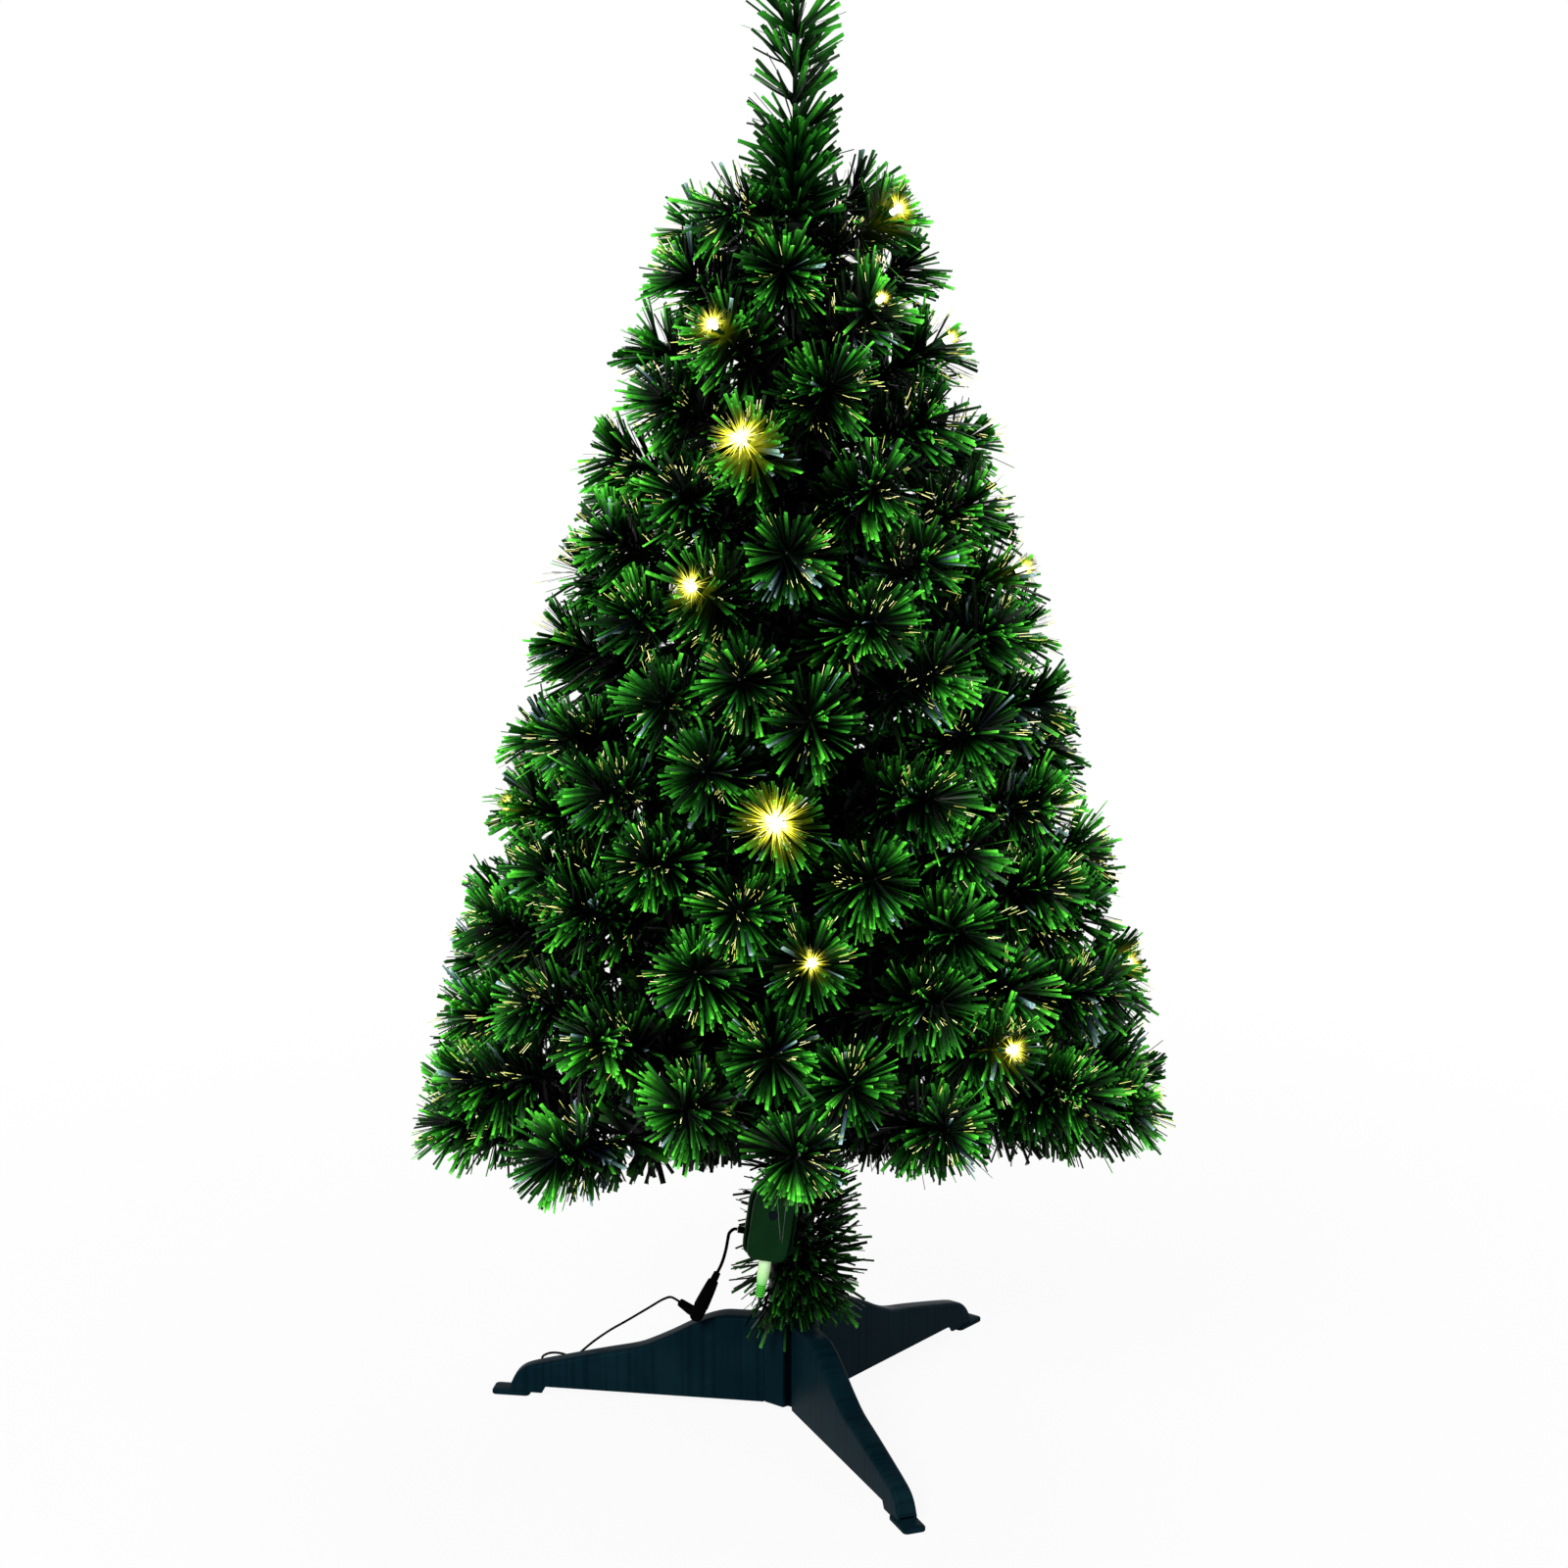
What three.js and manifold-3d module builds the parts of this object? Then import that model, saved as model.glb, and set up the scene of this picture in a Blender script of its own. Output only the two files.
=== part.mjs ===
// A fiber optic christmas tree on a three-legged plastic stand, in millimetres, +Z up.
// The origin lies on the trunk's axis, on the floor under the feet. +X is to the right, +Y away.
// The trunk lifts out of the stand. A small light box on the trunk feeds a bundle of optical
// fibres that climbs inside the trunk, and a string of small bulbs plugs into the same box.
import * as THREE from "three";
import { mergeVertices } from "three/addons/utils/BufferGeometryUtils.js";
import Module from "manifold-3d";

const wasm = await Module();
wasm.setup();

// Driving dimensions shared by several pieces.
const gap = 0.3; // between pieces that touch or rest on each other
const overrun = 2; // how far a cutter runs past the face that it cuts
const embed = 1; // how far a joined form reaches into what carries it

const stand = {
  firstAzimuthDeg: 51.2,
  legNames: ["back", "left", "front"],
  height: 80,
  underside: 8.8,
  footReach: 233,
  hubFlat: 20.7,
  legFace: 23,
  legHubWidth: 21.4,
  legTipWidth: 15.5,
  wall: 2,
  roof: 3,
  edgeFillet: 4,
  footLength: 31.5,
  footWidth: 18.5,
  footThickness: 4,
  footCorner: 4,
  socketOuter: 36,
  socketTop: 134,
  socketFloor: 14,
  tongueNeck: 6,
  tongueHead: 11,
  tongueNeckDepth: 3,
  tongueDepth: 6,
  tongueTop: 68,
  fitClearance: 0.4,
};

const trunk = {
  lowerDiameter: 25,
  upperDiameter: 16,
  wall: 1,
  topBelowOutline: 200,
  overlap: 22,
  bushLip: 3,
  windowHeight: 217.3,
  windowDiameter: 14,
  windowAzimuthDeg: 246.8,
};
const trunkSides = 16;

const foliage = {
  outlineTop: 1150,
  lowestTip: 240,
  highestTipBelowOutline: 165,
  outerRadius: 305,
  needleReach: 10,
  brushRadius: 32,
  brushValley: 19,
  stemRadius: 2.2,
  tipRecess: 6,
  frontLift: 66,
  liftFade: 460,
  lowSlopeDeg: 2,
  highSlopeDeg: 35,
  collarWall: 2.8,
  collarMargin: 4,
};
const tiers = 12;
const pairsInTier = 6;
const outlinePower = 0.75;
const liftPower = 0.7;
const slopePower = 1.5;
const firstBranchAzimuthDeg = 20;
const goldenAngleDeg = 180 * (3 - Math.sqrt(5));

// Single needles fused to the brushes of the lowest and highest tier.
const rimNeedle = { length: 14, radius: 1.1, spreadDeg: 28 };

// The leader above the last branches: a slim rod with needles that point up and out.
const leader = {
  plugDepth: 15,
  flangeRadius: 8,
  flangeThickness: 2,
  rodRadius: 3,
  bareLength: 15,
  needledLength: 206,
  needleStep: 3.8,
  needleLength: 44,
  needleLeanDeg: 48,
  point: 3,
};

// The garland round the foot of the trunk: [radius, height] down its outside and up its inside.
const garland = {
  outside: [[17, 200], [19, 180], [20.5, 150], [22.5, 134], [24.5, 96]],
  inside: [[22.5, 96], [20, 134], [18.3, 150], [17, 179], [12.8, 181.5]],
  needleRadius: 1.1,
  needleLength: 31,
  lowestNeedle: 112,
  highestNeedle: 196,
  boxClearance: 0.8,
};

// The light box, in its own frame: x across, y away, z up along the tilted box.
const lightBox = {
  bottomCentre: [-22.4, -25, 139.6],
  tiltDeg: 8.5,
  backHalfWidth: 20,
  frontHalfWidth: 16.5,
  height: 62,
  backDepth: 10,
  frontDepth: 11.5,
  wall: 1.8,
  chamfer: 1.5,
  earReach: 24.5,
  earFoot: 3,
  earTop: 10,
  earThickness: 4,
  postRadius: 2,
  postReach: 9.5,
  postHeight: 24,
  saddle: { left: -16, right: -3, front: -15.6, back: -6, foot: 160, top: 184 },
  clip: { wall: 2.5, foot: 158, top: 178, openingDeg: 130 },
};
const board = { halfWidth: 13, foot: 14, topBelowCase: 17, front: 3, thickness: 1.2 };
const button = {
  belowTop: 23,
  capRadius: 3.5,
  flangeRadius: 5,
  flangeThickness: 1.2,
  stemRadius: 2,
  proud: 0.4,
  travel: 1.2,
};
const tactSwitch = { side: 6, thickness: 4 };
const lamp = { offset: 2, radius: 4, shoulder: 4.2, length: 8.2, crownRadius: 2.8 };
const ferrule = { outer: 5.5, wall: 0.7, depthInCase: 6, proud: 5 };
const gland = { height: 18, depth: 4.1, shaft: 2.8, shaftLength: 5.5, flange: 3.8, flangeLength: 1.5 };

const fibres = { lowerRadius: 4.5, upperRadius: 2.5, depthInCase: 5, narrowed: 620, topBelowTrunk: 25 };

const stringPlug = {
  noseRadius: 3.3,
  noseLength: 9,
  barrelRadius: 5.3,
  barrelLength: 22,
  coneRadius: 3.9,
  coneLength: 3,
  ribs: 5,
  ribPitch: 1.8,
  grooveRadius: 3,
  socketWall: 2.4,
  socketLength: 10,
};
const stringLead = { diameter: 1.8 };

// The supply's in-line socket and plug: a point and a direction that both share.
const supply = {
  diameter: 2.6,
  socketStart: [-61.1, -17, 123.2],
  direction: [-0.403, 0.123, -0.907],
  socketLength: 33,
  boreDepth: 11,
  barrelDiameter: 5.5,
  barrelLength: 9,
  headRadius: 5.6,
  elbow: 7.7,
  armDirection: [-0.72, 0.64, 0.27],
  armLength: 20,
  armRadius: 4.6,
  armEndRadius: 2.6,
};

const adapterLead = { diameter: 2 };
const coil = { centre: [-132, 74], pitch: 2.7, innerRadius: 9.6, baseHeight: 2.4 };
const coilTurns = 12;
const coilLayers = 4;
const coilStartDeg = 110;
const coilStepsInTurn = 10;
const coilSides = 5;
const coilTie = { width: 3, thickness: 0.8, innerSlack: 0.8 };
const tieStepsRound = 6;

const adapter = {
  centre: [-62, 60],
  length: 68,
  width: 44,
  height: 30,
  corner: 6,
  edge: 2,
  glandY: 68,
  glandZ: 16,
  glandRadius: 3,
  glandLength: 6,
  pinSpacing: 12.7,
  pinHeight: 6.3,
  pinThickness: 1.5,
  pinLength: 16,
};

const bulb = { length: 18, baseRadius: 2.6, collarRadius: 3.1, collarFoot: 9, collarTop: 10, domeRadius: 2.3 };

// Geometry helpers.
const degrees = Math.PI / 180;
const vector = (x, y, z) => new THREE.Vector3(x, y, z);

// Turns a closed three.js geometry into a solid that faces outwards.
function solid(geometry) {
  const bare = geometry.index ? geometry.toNonIndexed() : geometry.clone();
  bare.deleteAttribute("normal");
  bare.deleteAttribute("uv");
  const merged = mergeVertices(bare, 1e-3);
  const vertProperties = merged.attributes.position.array;
  const triVerts = new Uint32Array(merged.index.array);
  const made = new wasm.Manifold(new wasm.Mesh({ numProp: 3, vertProperties, triVerts }));
  if (made.volume() >= 0) return made;
  for (let i = 0; i < triVerts.length; i += 3) {
    [triVerts[i + 1], triVerts[i + 2]] = [triVerts[i + 2], triVerts[i + 1]];
  }
  return new wasm.Manifold(new wasm.Mesh({ numProp: 3, vertProperties, triVerts }));
}

// Gives a solid back as a three.js mesh with its own material.
function meshOf(name, made, { color, roughness, metalness = 0 }) {
  const { vertProperties, triVerts } = made.getMesh();
  const geometry = new THREE.BufferGeometry();
  geometry.setAttribute("position", new THREE.BufferAttribute(vertProperties.slice(), 3));
  geometry.setIndex(new THREE.BufferAttribute(triVerts.slice(), 1));
  geometry.computeVertexNormals();
  const material = new THREE.MeshStandardMaterial({ color, roughness, metalness });
  const mesh = new THREE.Mesh(geometry, material);
  mesh.name = name;
  return mesh;
}

// Places a geometry before it becomes a solid.
function placed(geometry, matrix) {
  return solid(geometry.clone().applyMatrix4(matrix));
}

// Places a lathed profile so that its axis starts at a point and runs along a direction.
function turned(profile, start, direction, sides) {
  const turn = new THREE.Quaternion().setFromUnitVectors(vector(0, 0, 1), direction);
  const place = new THREE.Matrix4().compose(start, turn, vector(1, 1, 1));
  return placed(lathe(profile, sides), place);
}

// Revolves [radius, height] points about the Z axis.
function lathe(profile, segments) {
  const points = profile.map(([r, z]) => new THREE.Vector2(r, z));
  return new THREE.LatheGeometry(points, segments).rotateX(Math.PI / 2);
}

// A rod or disc along Z with its foot at height z.
function rod(radius, z, length, segments) {
  return lathe([[0, z], [radius, z], [radius, z + length], [0, z + length]], segments);
}

// A ring along Z, open through its middle.
function ring(inner, outer, z, length, segments) {
  const profile = [[inner, z], [outer, z], [outer, z + length], [inner, z + length], [inner, z]];
  return lathe(profile, segments);
}

// Extrudes a closed outline of [x, y] points upwards from height z.
function prism(outline, z, length) {
  const shape = new THREE.Shape(outline.map(([x, y]) => new THREE.Vector2(x, y)));
  const options = { depth: length, bevelEnabled: false };
  return new THREE.ExtrudeGeometry(shape, options).translate(0, 0, z);
}

// A box given by its lowest and highest corners.
function block(low, high) {
  const size = high.map((v, i) => v - low[i]);
  const middle = high.map((v, i) => (v + low[i]) / 2);
  return new THREE.BoxGeometry(...size).translate(...middle);
}

// Two directions square to a third, right-handed with it.
function basisOf(direction) {
  const across = vector(0, 0, 1).cross(direction);
  if (across.length() < Number.EPSILON) across.set(1, 0, 0);
  across.normalize();
  return [across, direction.clone().cross(across).normalize()];
}

// A closed ring of points round a centre, one point for each radius.
function ringAround(centre, direction, radii, spin = 0) {
  const [u, v] = basisOf(direction);
  return radii.map((radius, i) => {
    const angle = spin + (2 * Math.PI * i) / radii.length;
    const out = u.clone().multiplyScalar(radius * Math.cos(angle));
    return out.addScaledVector(v, radius * Math.sin(angle)).add(centre);
  });
}

// A closed body from a list of triangles of points.
function fromTriangles(triangles) {
  const positions = new Float32Array(triangles.flat().flatMap((p) => [p.x, p.y, p.z]));
  const geometry = new THREE.BufferGeometry();
  geometry.setAttribute("position", new THREE.BufferAttribute(positions, 3));
  return solid(geometry);
}

// Joins rings of equal or doubling point counts and closes each end on its centre.
function loft(rings, startCentre, endCentre) {
  const faces = [];
  for (let i = 0; i + 1 < rings.length; i += 1) {
    const [low, high] = [rings[i], rings[i + 1]];
    const n = low.length;
    for (let j = 0; j < n; j += 1) {
      const [a, b] = [low[j], low[(j + 1) % n]];
      if (high.length === n) {
        faces.push([a, b, high[(j + 1) % n]], [a, high[(j + 1) % n], high[j]]);
      } else {
        const [c, d, e] = [high[2 * j], high[2 * j + 1], high[(2 * j + 2) % high.length]];
        faces.push([a, d, c], [a, b, d], [b, e, d]);
      }
    }
  }
  const first = rings[0];
  const last = rings[rings.length - 1];
  first.forEach((p, j) => faces.push([startCentre, first[(j + 1) % first.length], p]));
  last.forEach((p, j) => faces.push([endCentre, p, last[(j + 1) % last.length]]));
  return fromTriangles(faces);
}

// A thin three-sided needle whose foot is sunk into the body that carries it.
function needle(foot, direction, length, radius) {
  const base = foot.clone().addScaledVector(direction, -embed);
  const tip = foot.clone().addScaledVector(direction, length);
  return loft([ringAround(base, direction, [radius, radius, radius])], base, tip);
}

function middleOf(ring) {
  return ring.reduce((sum, p) => sum.add(p), vector(0, 0, 0)).divideScalar(ring.length);
}

// A round tube along a three.js curve.
function tubeAlong(extrudePath, diameter, steps, sides) {
  const outline = ringAround(vector(0, 0, 0), vector(0, 0, 1), Array(sides).fill(diameter / 2));
  const section = new THREE.Shape(outline.map((p) => new THREE.Vector2(p.x, p.y)));
  return solid(new THREE.ExtrudeGeometry(section, { steps, bevelEnabled: false, extrudePath }));
}

// A round tube through hand-placed points.
const leadSides = 8;
function tube(points, diameter, steps) {
  const path = new THREE.CatmullRomCurve3(points, false, "centripetal");
  return tubeAlong(path, diameter, steps, leadSides);
}

// A round body through [centre, radius] stations whose sections line up on one direction.
function sweep(stations, across, sides) {
  const rings = stations.map(([centre, radius], i) => {
    const before = stations[Math.max(i - 1, 0)][0];
    const after = stations[Math.min(i + 1, stations.length - 1)][0];
    const along = after.clone().sub(before).normalize();
    const u = across.clone().addScaledVector(along, -across.dot(along)).normalize();
    const v = along.clone().cross(u);
    return Array.from({ length: sides }, (_, j) => {
      const angle = (2 * Math.PI * j) / sides;
      const out = u.clone().multiplyScalar(radius * Math.cos(angle));
      return out.addScaledVector(v, radius * Math.sin(angle)).add(centre);
    });
  });
  return loft(rings, stations[0][0], stations[stations.length - 1][0]);
}

function joined(solids) {
  return solids.reduce((whole, next) => whole.add(next));
}

// Materials, by the look that they share.
const looks = {
  stand: { color: 0x112128, roughness: 0.42 },
  boxPlastic: { color: 0x0f3616, roughness: 0.38 },
  needles: { color: 0x145a18, roughness: 0.5 },
  needlesLit: { color: 0x1f7a20, roughness: 0.5 },
  paintedSteel: { color: 0x1b2a22, roughness: 0.5, metalness: 0.4 },
  steel: { color: 0xb9bcc0, roughness: 0.3, metalness: 1 },
  blackPlastic: { color: 0x0b0b0c, roughness: 0.4 },
  cordBlack: { color: 0x0a0a0b, roughness: 0.5 },
  clearFibre: { color: 0xe9eef0, roughness: 0.15 },
  palePlastic: { color: 0xd8f5c8, roughness: 0.35 },
  board: { color: 0x1d5b38, roughness: 0.6 },
  bulbLit: { color: 0xfff0c0, roughness: 0.2 },
  brass: { color: 0xc9a24a, roughness: 0.3, metalness: 1 },
};

const tree = new THREE.Group();

function add(name, made, look) {
  tree.add(meshOf(name, made, look));
}

// The stand: a hub with three dovetailed legs.
const legPitchDeg = 360 / stand.legNames.length;
const socketBore = trunk.lowerDiameter / 2 + stand.fitClearance;

// Leg top line: share of the foot's reach, share of the stand's height.
const legLineShares = [
  [0.245, 1],
  [0.31, 0.94],
  [0.37, 0.85],
  [0.43, 0.75],
  [0.5, 0.65],
  [0.545, 0.594],
  [0.665, 0.519],
  [0.78, 0.437],
  [0.9, 0.35],
  [0.955, 0.3],
  [0.985, 0.22],
  [1, 0.12],
];
// Shares of the reach at which the hollow under a leg is crossed by ribs.
const legRibShares = [0.13, 0.245, 0.43, 0.64, 0.9];

const legLine = legLineShares.map(([reach, rise]) => ({
  x: reach * stand.footReach,
  z: rise * stand.height,
}));

// Height of a leg's top line at a distance x from the trunk's axis.
function legTopAt(x) {
  const after = legLine.findIndex((p) => p.x >= x);
  if (after === 0) return stand.height;
  const [a, b] = [legLine[after - 1], legLine[after]];
  return a.z + ((b.z - a.z) * (x - a.x)) / (b.x - a.x);
}

function legHalfWidthAt(x) {
  const along = (x - stand.legFace) / (stand.footReach - stand.legFace);
  return (stand.legHubWidth + (stand.legTipWidth - stand.legHubWidth) * along) / 2;
}

// Cross-section of a leg at x: a rectangle whose upper edges are rounded in three facets.
function legSection(x, bottom) {
  const half = legHalfWidthAt(x);
  const top = legTopAt(x);
  const fillet = Math.min(stand.edgeFillet, half / 2, (top - bottom) / 2);
  const soft = fillet * (1 - Math.SQRT1_2);
  const right = [
    [half, bottom],
    [half, top - fillet],
    [half - soft, top - soft],
    [half - fillet, top],
  ];
  const left = right.map(([y, z]) => [-y, z]).reverse();
  return [...right, ...left].map(([y, z]) => vector(x, y, z));
}

// A hollow under a leg between two ribs, open at the bottom.
function legHollow(from, to) {
  const stations = [from, ...legLine.map((p) => p.x).filter((x) => x > from && x < to), to];
  const bottom = stand.underside - overrun;
  const rings = stations.map((x) => {
    const half = legHalfWidthAt(x) - stand.wall;
    const top = legTopAt(x) - stand.roof;
    return [vector(x, half, bottom), vector(x, half, top), vector(x, -half, top), vector(x, -half, bottom)];
  });
  return loft(rings, middleOf(rings[0]), middleOf(rings[rings.length - 1]));
}

// Plan outline of the dovetail tongue, or of its slot when it is grown by a clearance.
function tongueOutline(root, grown) {
  const neck = stand.tongueNeck / 2 + grown;
  const head = stand.tongueHead / 2 + grown;
  const shoulder = stand.legFace - stand.tongueNeckDepth + grown;
  const end = stand.legFace - stand.tongueDepth - grown;
  const half = [[root, neck], [shoulder, neck], [shoulder, head], [end, head]];
  return [...half, ...half.map(([x, y]) => [x, -y]).reverse()];
}

function footPlate() {
  const [length, width, corner] = [stand.footLength / 2, stand.footWidth / 2, stand.footCorner];
  const shape = new THREE.Shape();
  shape.absarc(length - corner, width - corner, corner, 0, Math.PI / 2);
  shape.absarc(corner - length, width - corner, corner, Math.PI / 2, Math.PI);
  shape.absarc(corner - length, corner - width, corner, Math.PI, 1.5 * Math.PI);
  shape.absarc(length - corner, corner - width, corner, 1.5 * Math.PI, 2 * Math.PI);
  const options = { depth: stand.footThickness, bevelEnabled: false, curveSegments: 3 };
  return solid(new THREE.ExtrudeGeometry(shape, options).translate(stand.footReach, 0, 0));
}

function leg() {
  const start = stand.legFace + gap;
  const drop = legLine[legLine.length - 4].x;
  const rings = [start, ...legLine.map((p) => p.x)].map((x) =>
    legSection(x, x <= drop ? stand.underside : stand.footThickness - embed),
  );
  const endX = stand.footReach;
  const startCentre = vector(start, 0, (stand.underside + stand.height) / 2);
  const endCentre = vector(endX, 0, (stand.footThickness - embed + legTopAt(endX)) / 2);
  let made = loft(rings, startCentre, endCentre).add(footPlate());
  const ribs = legRibShares.map((share) => share * stand.footReach);
  for (let i = 0; i + 1 < ribs.length; i += 1) {
    made = made.subtract(legHollow(ribs[i] + stand.wall / 2, ribs[i + 1] - stand.wall / 2));
  }
  const tongueLength = stand.tongueTop - stand.underside;
  const tongue = prism(tongueOutline(start + embed, 0), stand.underside, tongueLength);
  return made.add(solid(tongue));
}

function hub() {
  const corner = (normalDeg, distance, nextDeg, nextDistance) => {
    const [a, b] = [normalDeg * degrees, nextDeg * degrees];
    const across = Math.sin(b - a);
    return [
      (distance * Math.sin(b) - nextDistance * Math.sin(a)) / across,
      (nextDistance * Math.cos(a) - distance * Math.cos(b)) / across,
    ];
  };
  const outline = [];
  for (let i = 0; i < stand.legNames.length; i += 1) {
    const legDeg = stand.firstAzimuthDeg + i * legPitchDeg;
    const flatDeg = legDeg + legPitchDeg / 2;
    outline.push(corner(legDeg, stand.legFace, flatDeg, stand.hubFlat));
    outline.push(corner(flatDeg, stand.hubFlat, legDeg + legPitchDeg, stand.legFace));
  }
  const body = solid(prism(outline, stand.underside, stand.height - stand.underside));
  const socketLength = stand.socketTop - stand.height + embed;
  const socket = solid(rod(stand.socketOuter / 2, stand.height - embed, socketLength, trunkSides));
  const boreLength = stand.socketTop - stand.socketFloor + overrun;
  const bore = solid(rod(socketBore, stand.socketFloor, boreLength, trunkSides));
  let made = body.add(socket).subtract(bore);
  const slotFoot = stand.underside - overrun;
  const slot = prism(tongueOutline(stand.legFace + overrun, gap), slotFoot, stand.tongueTop + gap - slotFoot);
  for (let i = 0; i < stand.legNames.length; i += 1) {
    const turn = new THREE.Matrix4().makeRotationZ((stand.firstAzimuthDeg + i * legPitchDeg) * degrees);
    made = made.subtract(placed(slot, turn));
  }
  return made;
}

add("stand_hub", hub(), looks.stand);
const legSolid = leg();
stand.legNames.forEach((name, i) => {
  add(`leg_${name}`, legSolid.rotate([0, 0, stand.firstAzimuthDeg + i * legPitchDeg]), looks.stand);
});

// The plan of the branches: pairs on opposite sides of the trunk, each pair half a golden angle
// further round, and spaced up the cone so that every branch has as much of its surface.
const pairs = tiers * pairsInTier;

function outlineRadiusAt(z) {
  const share = (foliage.outlineTop - z) / (foliage.outlineTop - foliage.lowestTip);
  return foliage.outerRadius * share ** outlinePower;
}

// Height at which the given share of the cone's surface lies below.
function heightAtShare(share) {
  const span = foliage.outlineTop - foliage.lowestTip;
  const topShare = foliage.highestTipBelowOutline / span;
  const power = outlinePower + 1;
  return foliage.outlineTop - span * (1 - share * (1 - topShare ** power)) ** (1 / power);
}

function branchRootHeight(share) {
  const z = heightAtShare(share);
  const slope = foliage.lowSlopeDeg + (foliage.highSlopeDeg - foliage.lowSlopeDeg) * share ** slopePower;
  const reach = outlineRadiusAt(z) - foliage.needleReach - trunk.lowerDiameter / 2;
  return z - reach * Math.tan(slope * degrees);
}

// The collars of neighbouring tiers meet halfway between their nearest roots.
function tierBoundary(tier) {
  const first = tier * pairsInTier;
  if (tier === 0) return branchRootHeight(0) - foliage.collarMargin;
  if (tier === tiers) return branchRootHeight(1) + foliage.collarMargin;
  return (branchRootHeight((first - 1) / (pairs - 1)) + branchRootHeight(first / (pairs - 1))) / 2;
}

const jointTier = 8;
const trunkJoint = tierBoundary(jointTier);

function trunkRadiusAt(z) {
  return (z < trunkJoint ? trunk.lowerDiameter : trunk.upperDiameter) / 2;
}

// Branches towards the viewer and away from it are bent up at the skirt, clear of the light box.
function liftAt(azimuth, z) {
  const fade = Math.max(0, 1 - (z - foliage.lowestTip) / foliage.liftFade);
  return foliage.frontLift * Math.abs(Math.sin(azimuth)) ** liftPower * fade;
}

const branches = [];
for (let pair = 0; pair < pairs; pair += 1) {
  const share = pair / (pairs - 1);
  const z = heightAtShare(share);
  for (const side of [0, 180]) {
    const azimuth = (firstBranchAzimuthDeg + (pair * goldenAngleDeg) / 2 + side) * degrees;
    const reach = outlineRadiusAt(z) - foliage.needleReach;
    const out = vector(Math.cos(azimuth), Math.sin(azimuth), 0);
    const rootZ = branchRootHeight(share);
    const root = out.clone().multiplyScalar(trunkRadiusAt(rootZ) + foliage.collarWall / 2 + gap).setZ(rootZ);
    const tip = out.clone().multiplyScalar(reach).setZ(z + liftAt(azimuth, z));
    const direction = tip.clone().sub(root);
    const length = direction.length();
    direction.normalize();
    const spin = pair * goldenAngleDeg * degrees;
    branches.push({ tier: Math.floor(pair / pairsInTier), root, direction, length, spin });
  }
}

const lobes = 3;

// A wired branch: a stem that opens into a brush with a dished end, three ridges and valleys.
function branchBrush({ root, direction, length, spin }) {
  const at = (s) => root.clone().addScaledVector(direction, s);
  const rim = length - foliage.needleReach;
  const rimRadii = Array.from({ length: 2 * lobes }, (_, i) =>
    i % 2 ? foliage.brushValley : foliage.brushRadius,
  );
  const rings = [
    ringAround(at(0), direction, Array(lobes).fill(foliage.stemRadius), spin),
    ringAround(at(rim), direction, rimRadii, spin),
  ];
  return loft(rings, at(0), at(rim - foliage.tipRecess));
}

// Single needles round the rim of a brush, one on each ridge.
function rimNeedles({ root, direction, length, spin }) {
  const rim = root.clone().addScaledVector(direction, length - foliage.needleReach);
  const [u, v] = basisOf(direction);
  return Array.from({ length: lobes }, (_, i) => {
    const angle = spin + (2 * Math.PI * i) / lobes;
    const out = u.clone().multiplyScalar(Math.cos(angle)).addScaledVector(v, Math.sin(angle));
    const radius = foliage.brushRadius - 2 * rimNeedle.radius;
    const foot = rim.clone().addScaledVector(out, radius).addScaledVector(direction, -rimNeedle.radius);
    const spread = rimNeedle.spreadDeg * degrees;
    const aim = direction.clone().multiplyScalar(Math.cos(spread)).addScaledVector(out, Math.sin(spread));
    return needle(foot, aim, rimNeedle.length, rimNeedle.radius);
  });
}

const needledTiers = [0, tiers - 1];

for (let tier = 0; tier < tiers; tier += 1) {
  const low = tierBoundary(tier) + gap / 2;
  const high = tierBoundary(tier + 1) - gap / 2;
  const inner = trunkRadiusAt((low + high) / 2) + gap;
  const own = branches.filter((branch) => branch.tier === tier);
  const collar = solid(ring(inner, inner + foliage.collarWall, low, high - low, trunkSides));
  const parts = [collar, ...own.map(branchBrush)];
  if (needledTiers.includes(tier)) parts.push(...own.flatMap(rimNeedles));
  const bore = solid(rod(inner, low - overrun, high - low + 2 * overrun, trunkSides));
  const number = String(tier + 1).padStart(2, "0");
  add(`branch_tier_${number}`, joined(parts).subtract(bore), looks.needles);
}

// The trunk: two painted steel tubes, the upper one held in a bush in the top of the lower one.
const lowerRadius = trunk.lowerDiameter / 2;
const upperRadius = trunk.upperDiameter / 2;
const lowerFoot = stand.socketFloor + gap;
const lowerTop = trunkJoint - trunk.bushLip - 2 * gap;
const windowAim = trunk.windowAzimuthDeg * degrees;
const windowOut = vector(Math.cos(windowAim), Math.sin(windowAim), 0);

// The opening where the fibre bundle goes into the trunk.
const windowProfile = [
  [0, 0],
  [trunk.windowDiameter / 2, 0],
  [trunk.windowDiameter / 2, lowerRadius + overrun],
  [0, lowerRadius + overrun],
];
const windowCutter = turned(windowProfile, vector(0, 0, trunk.windowHeight), windowOut, trunkSides);
const lowerTube = ring(lowerRadius - trunk.wall, lowerRadius, lowerFoot, lowerTop - lowerFoot, trunkSides);
add("trunk_lower", solid(lowerTube).subtract(windowCutter), looks.paintedSteel);

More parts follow.
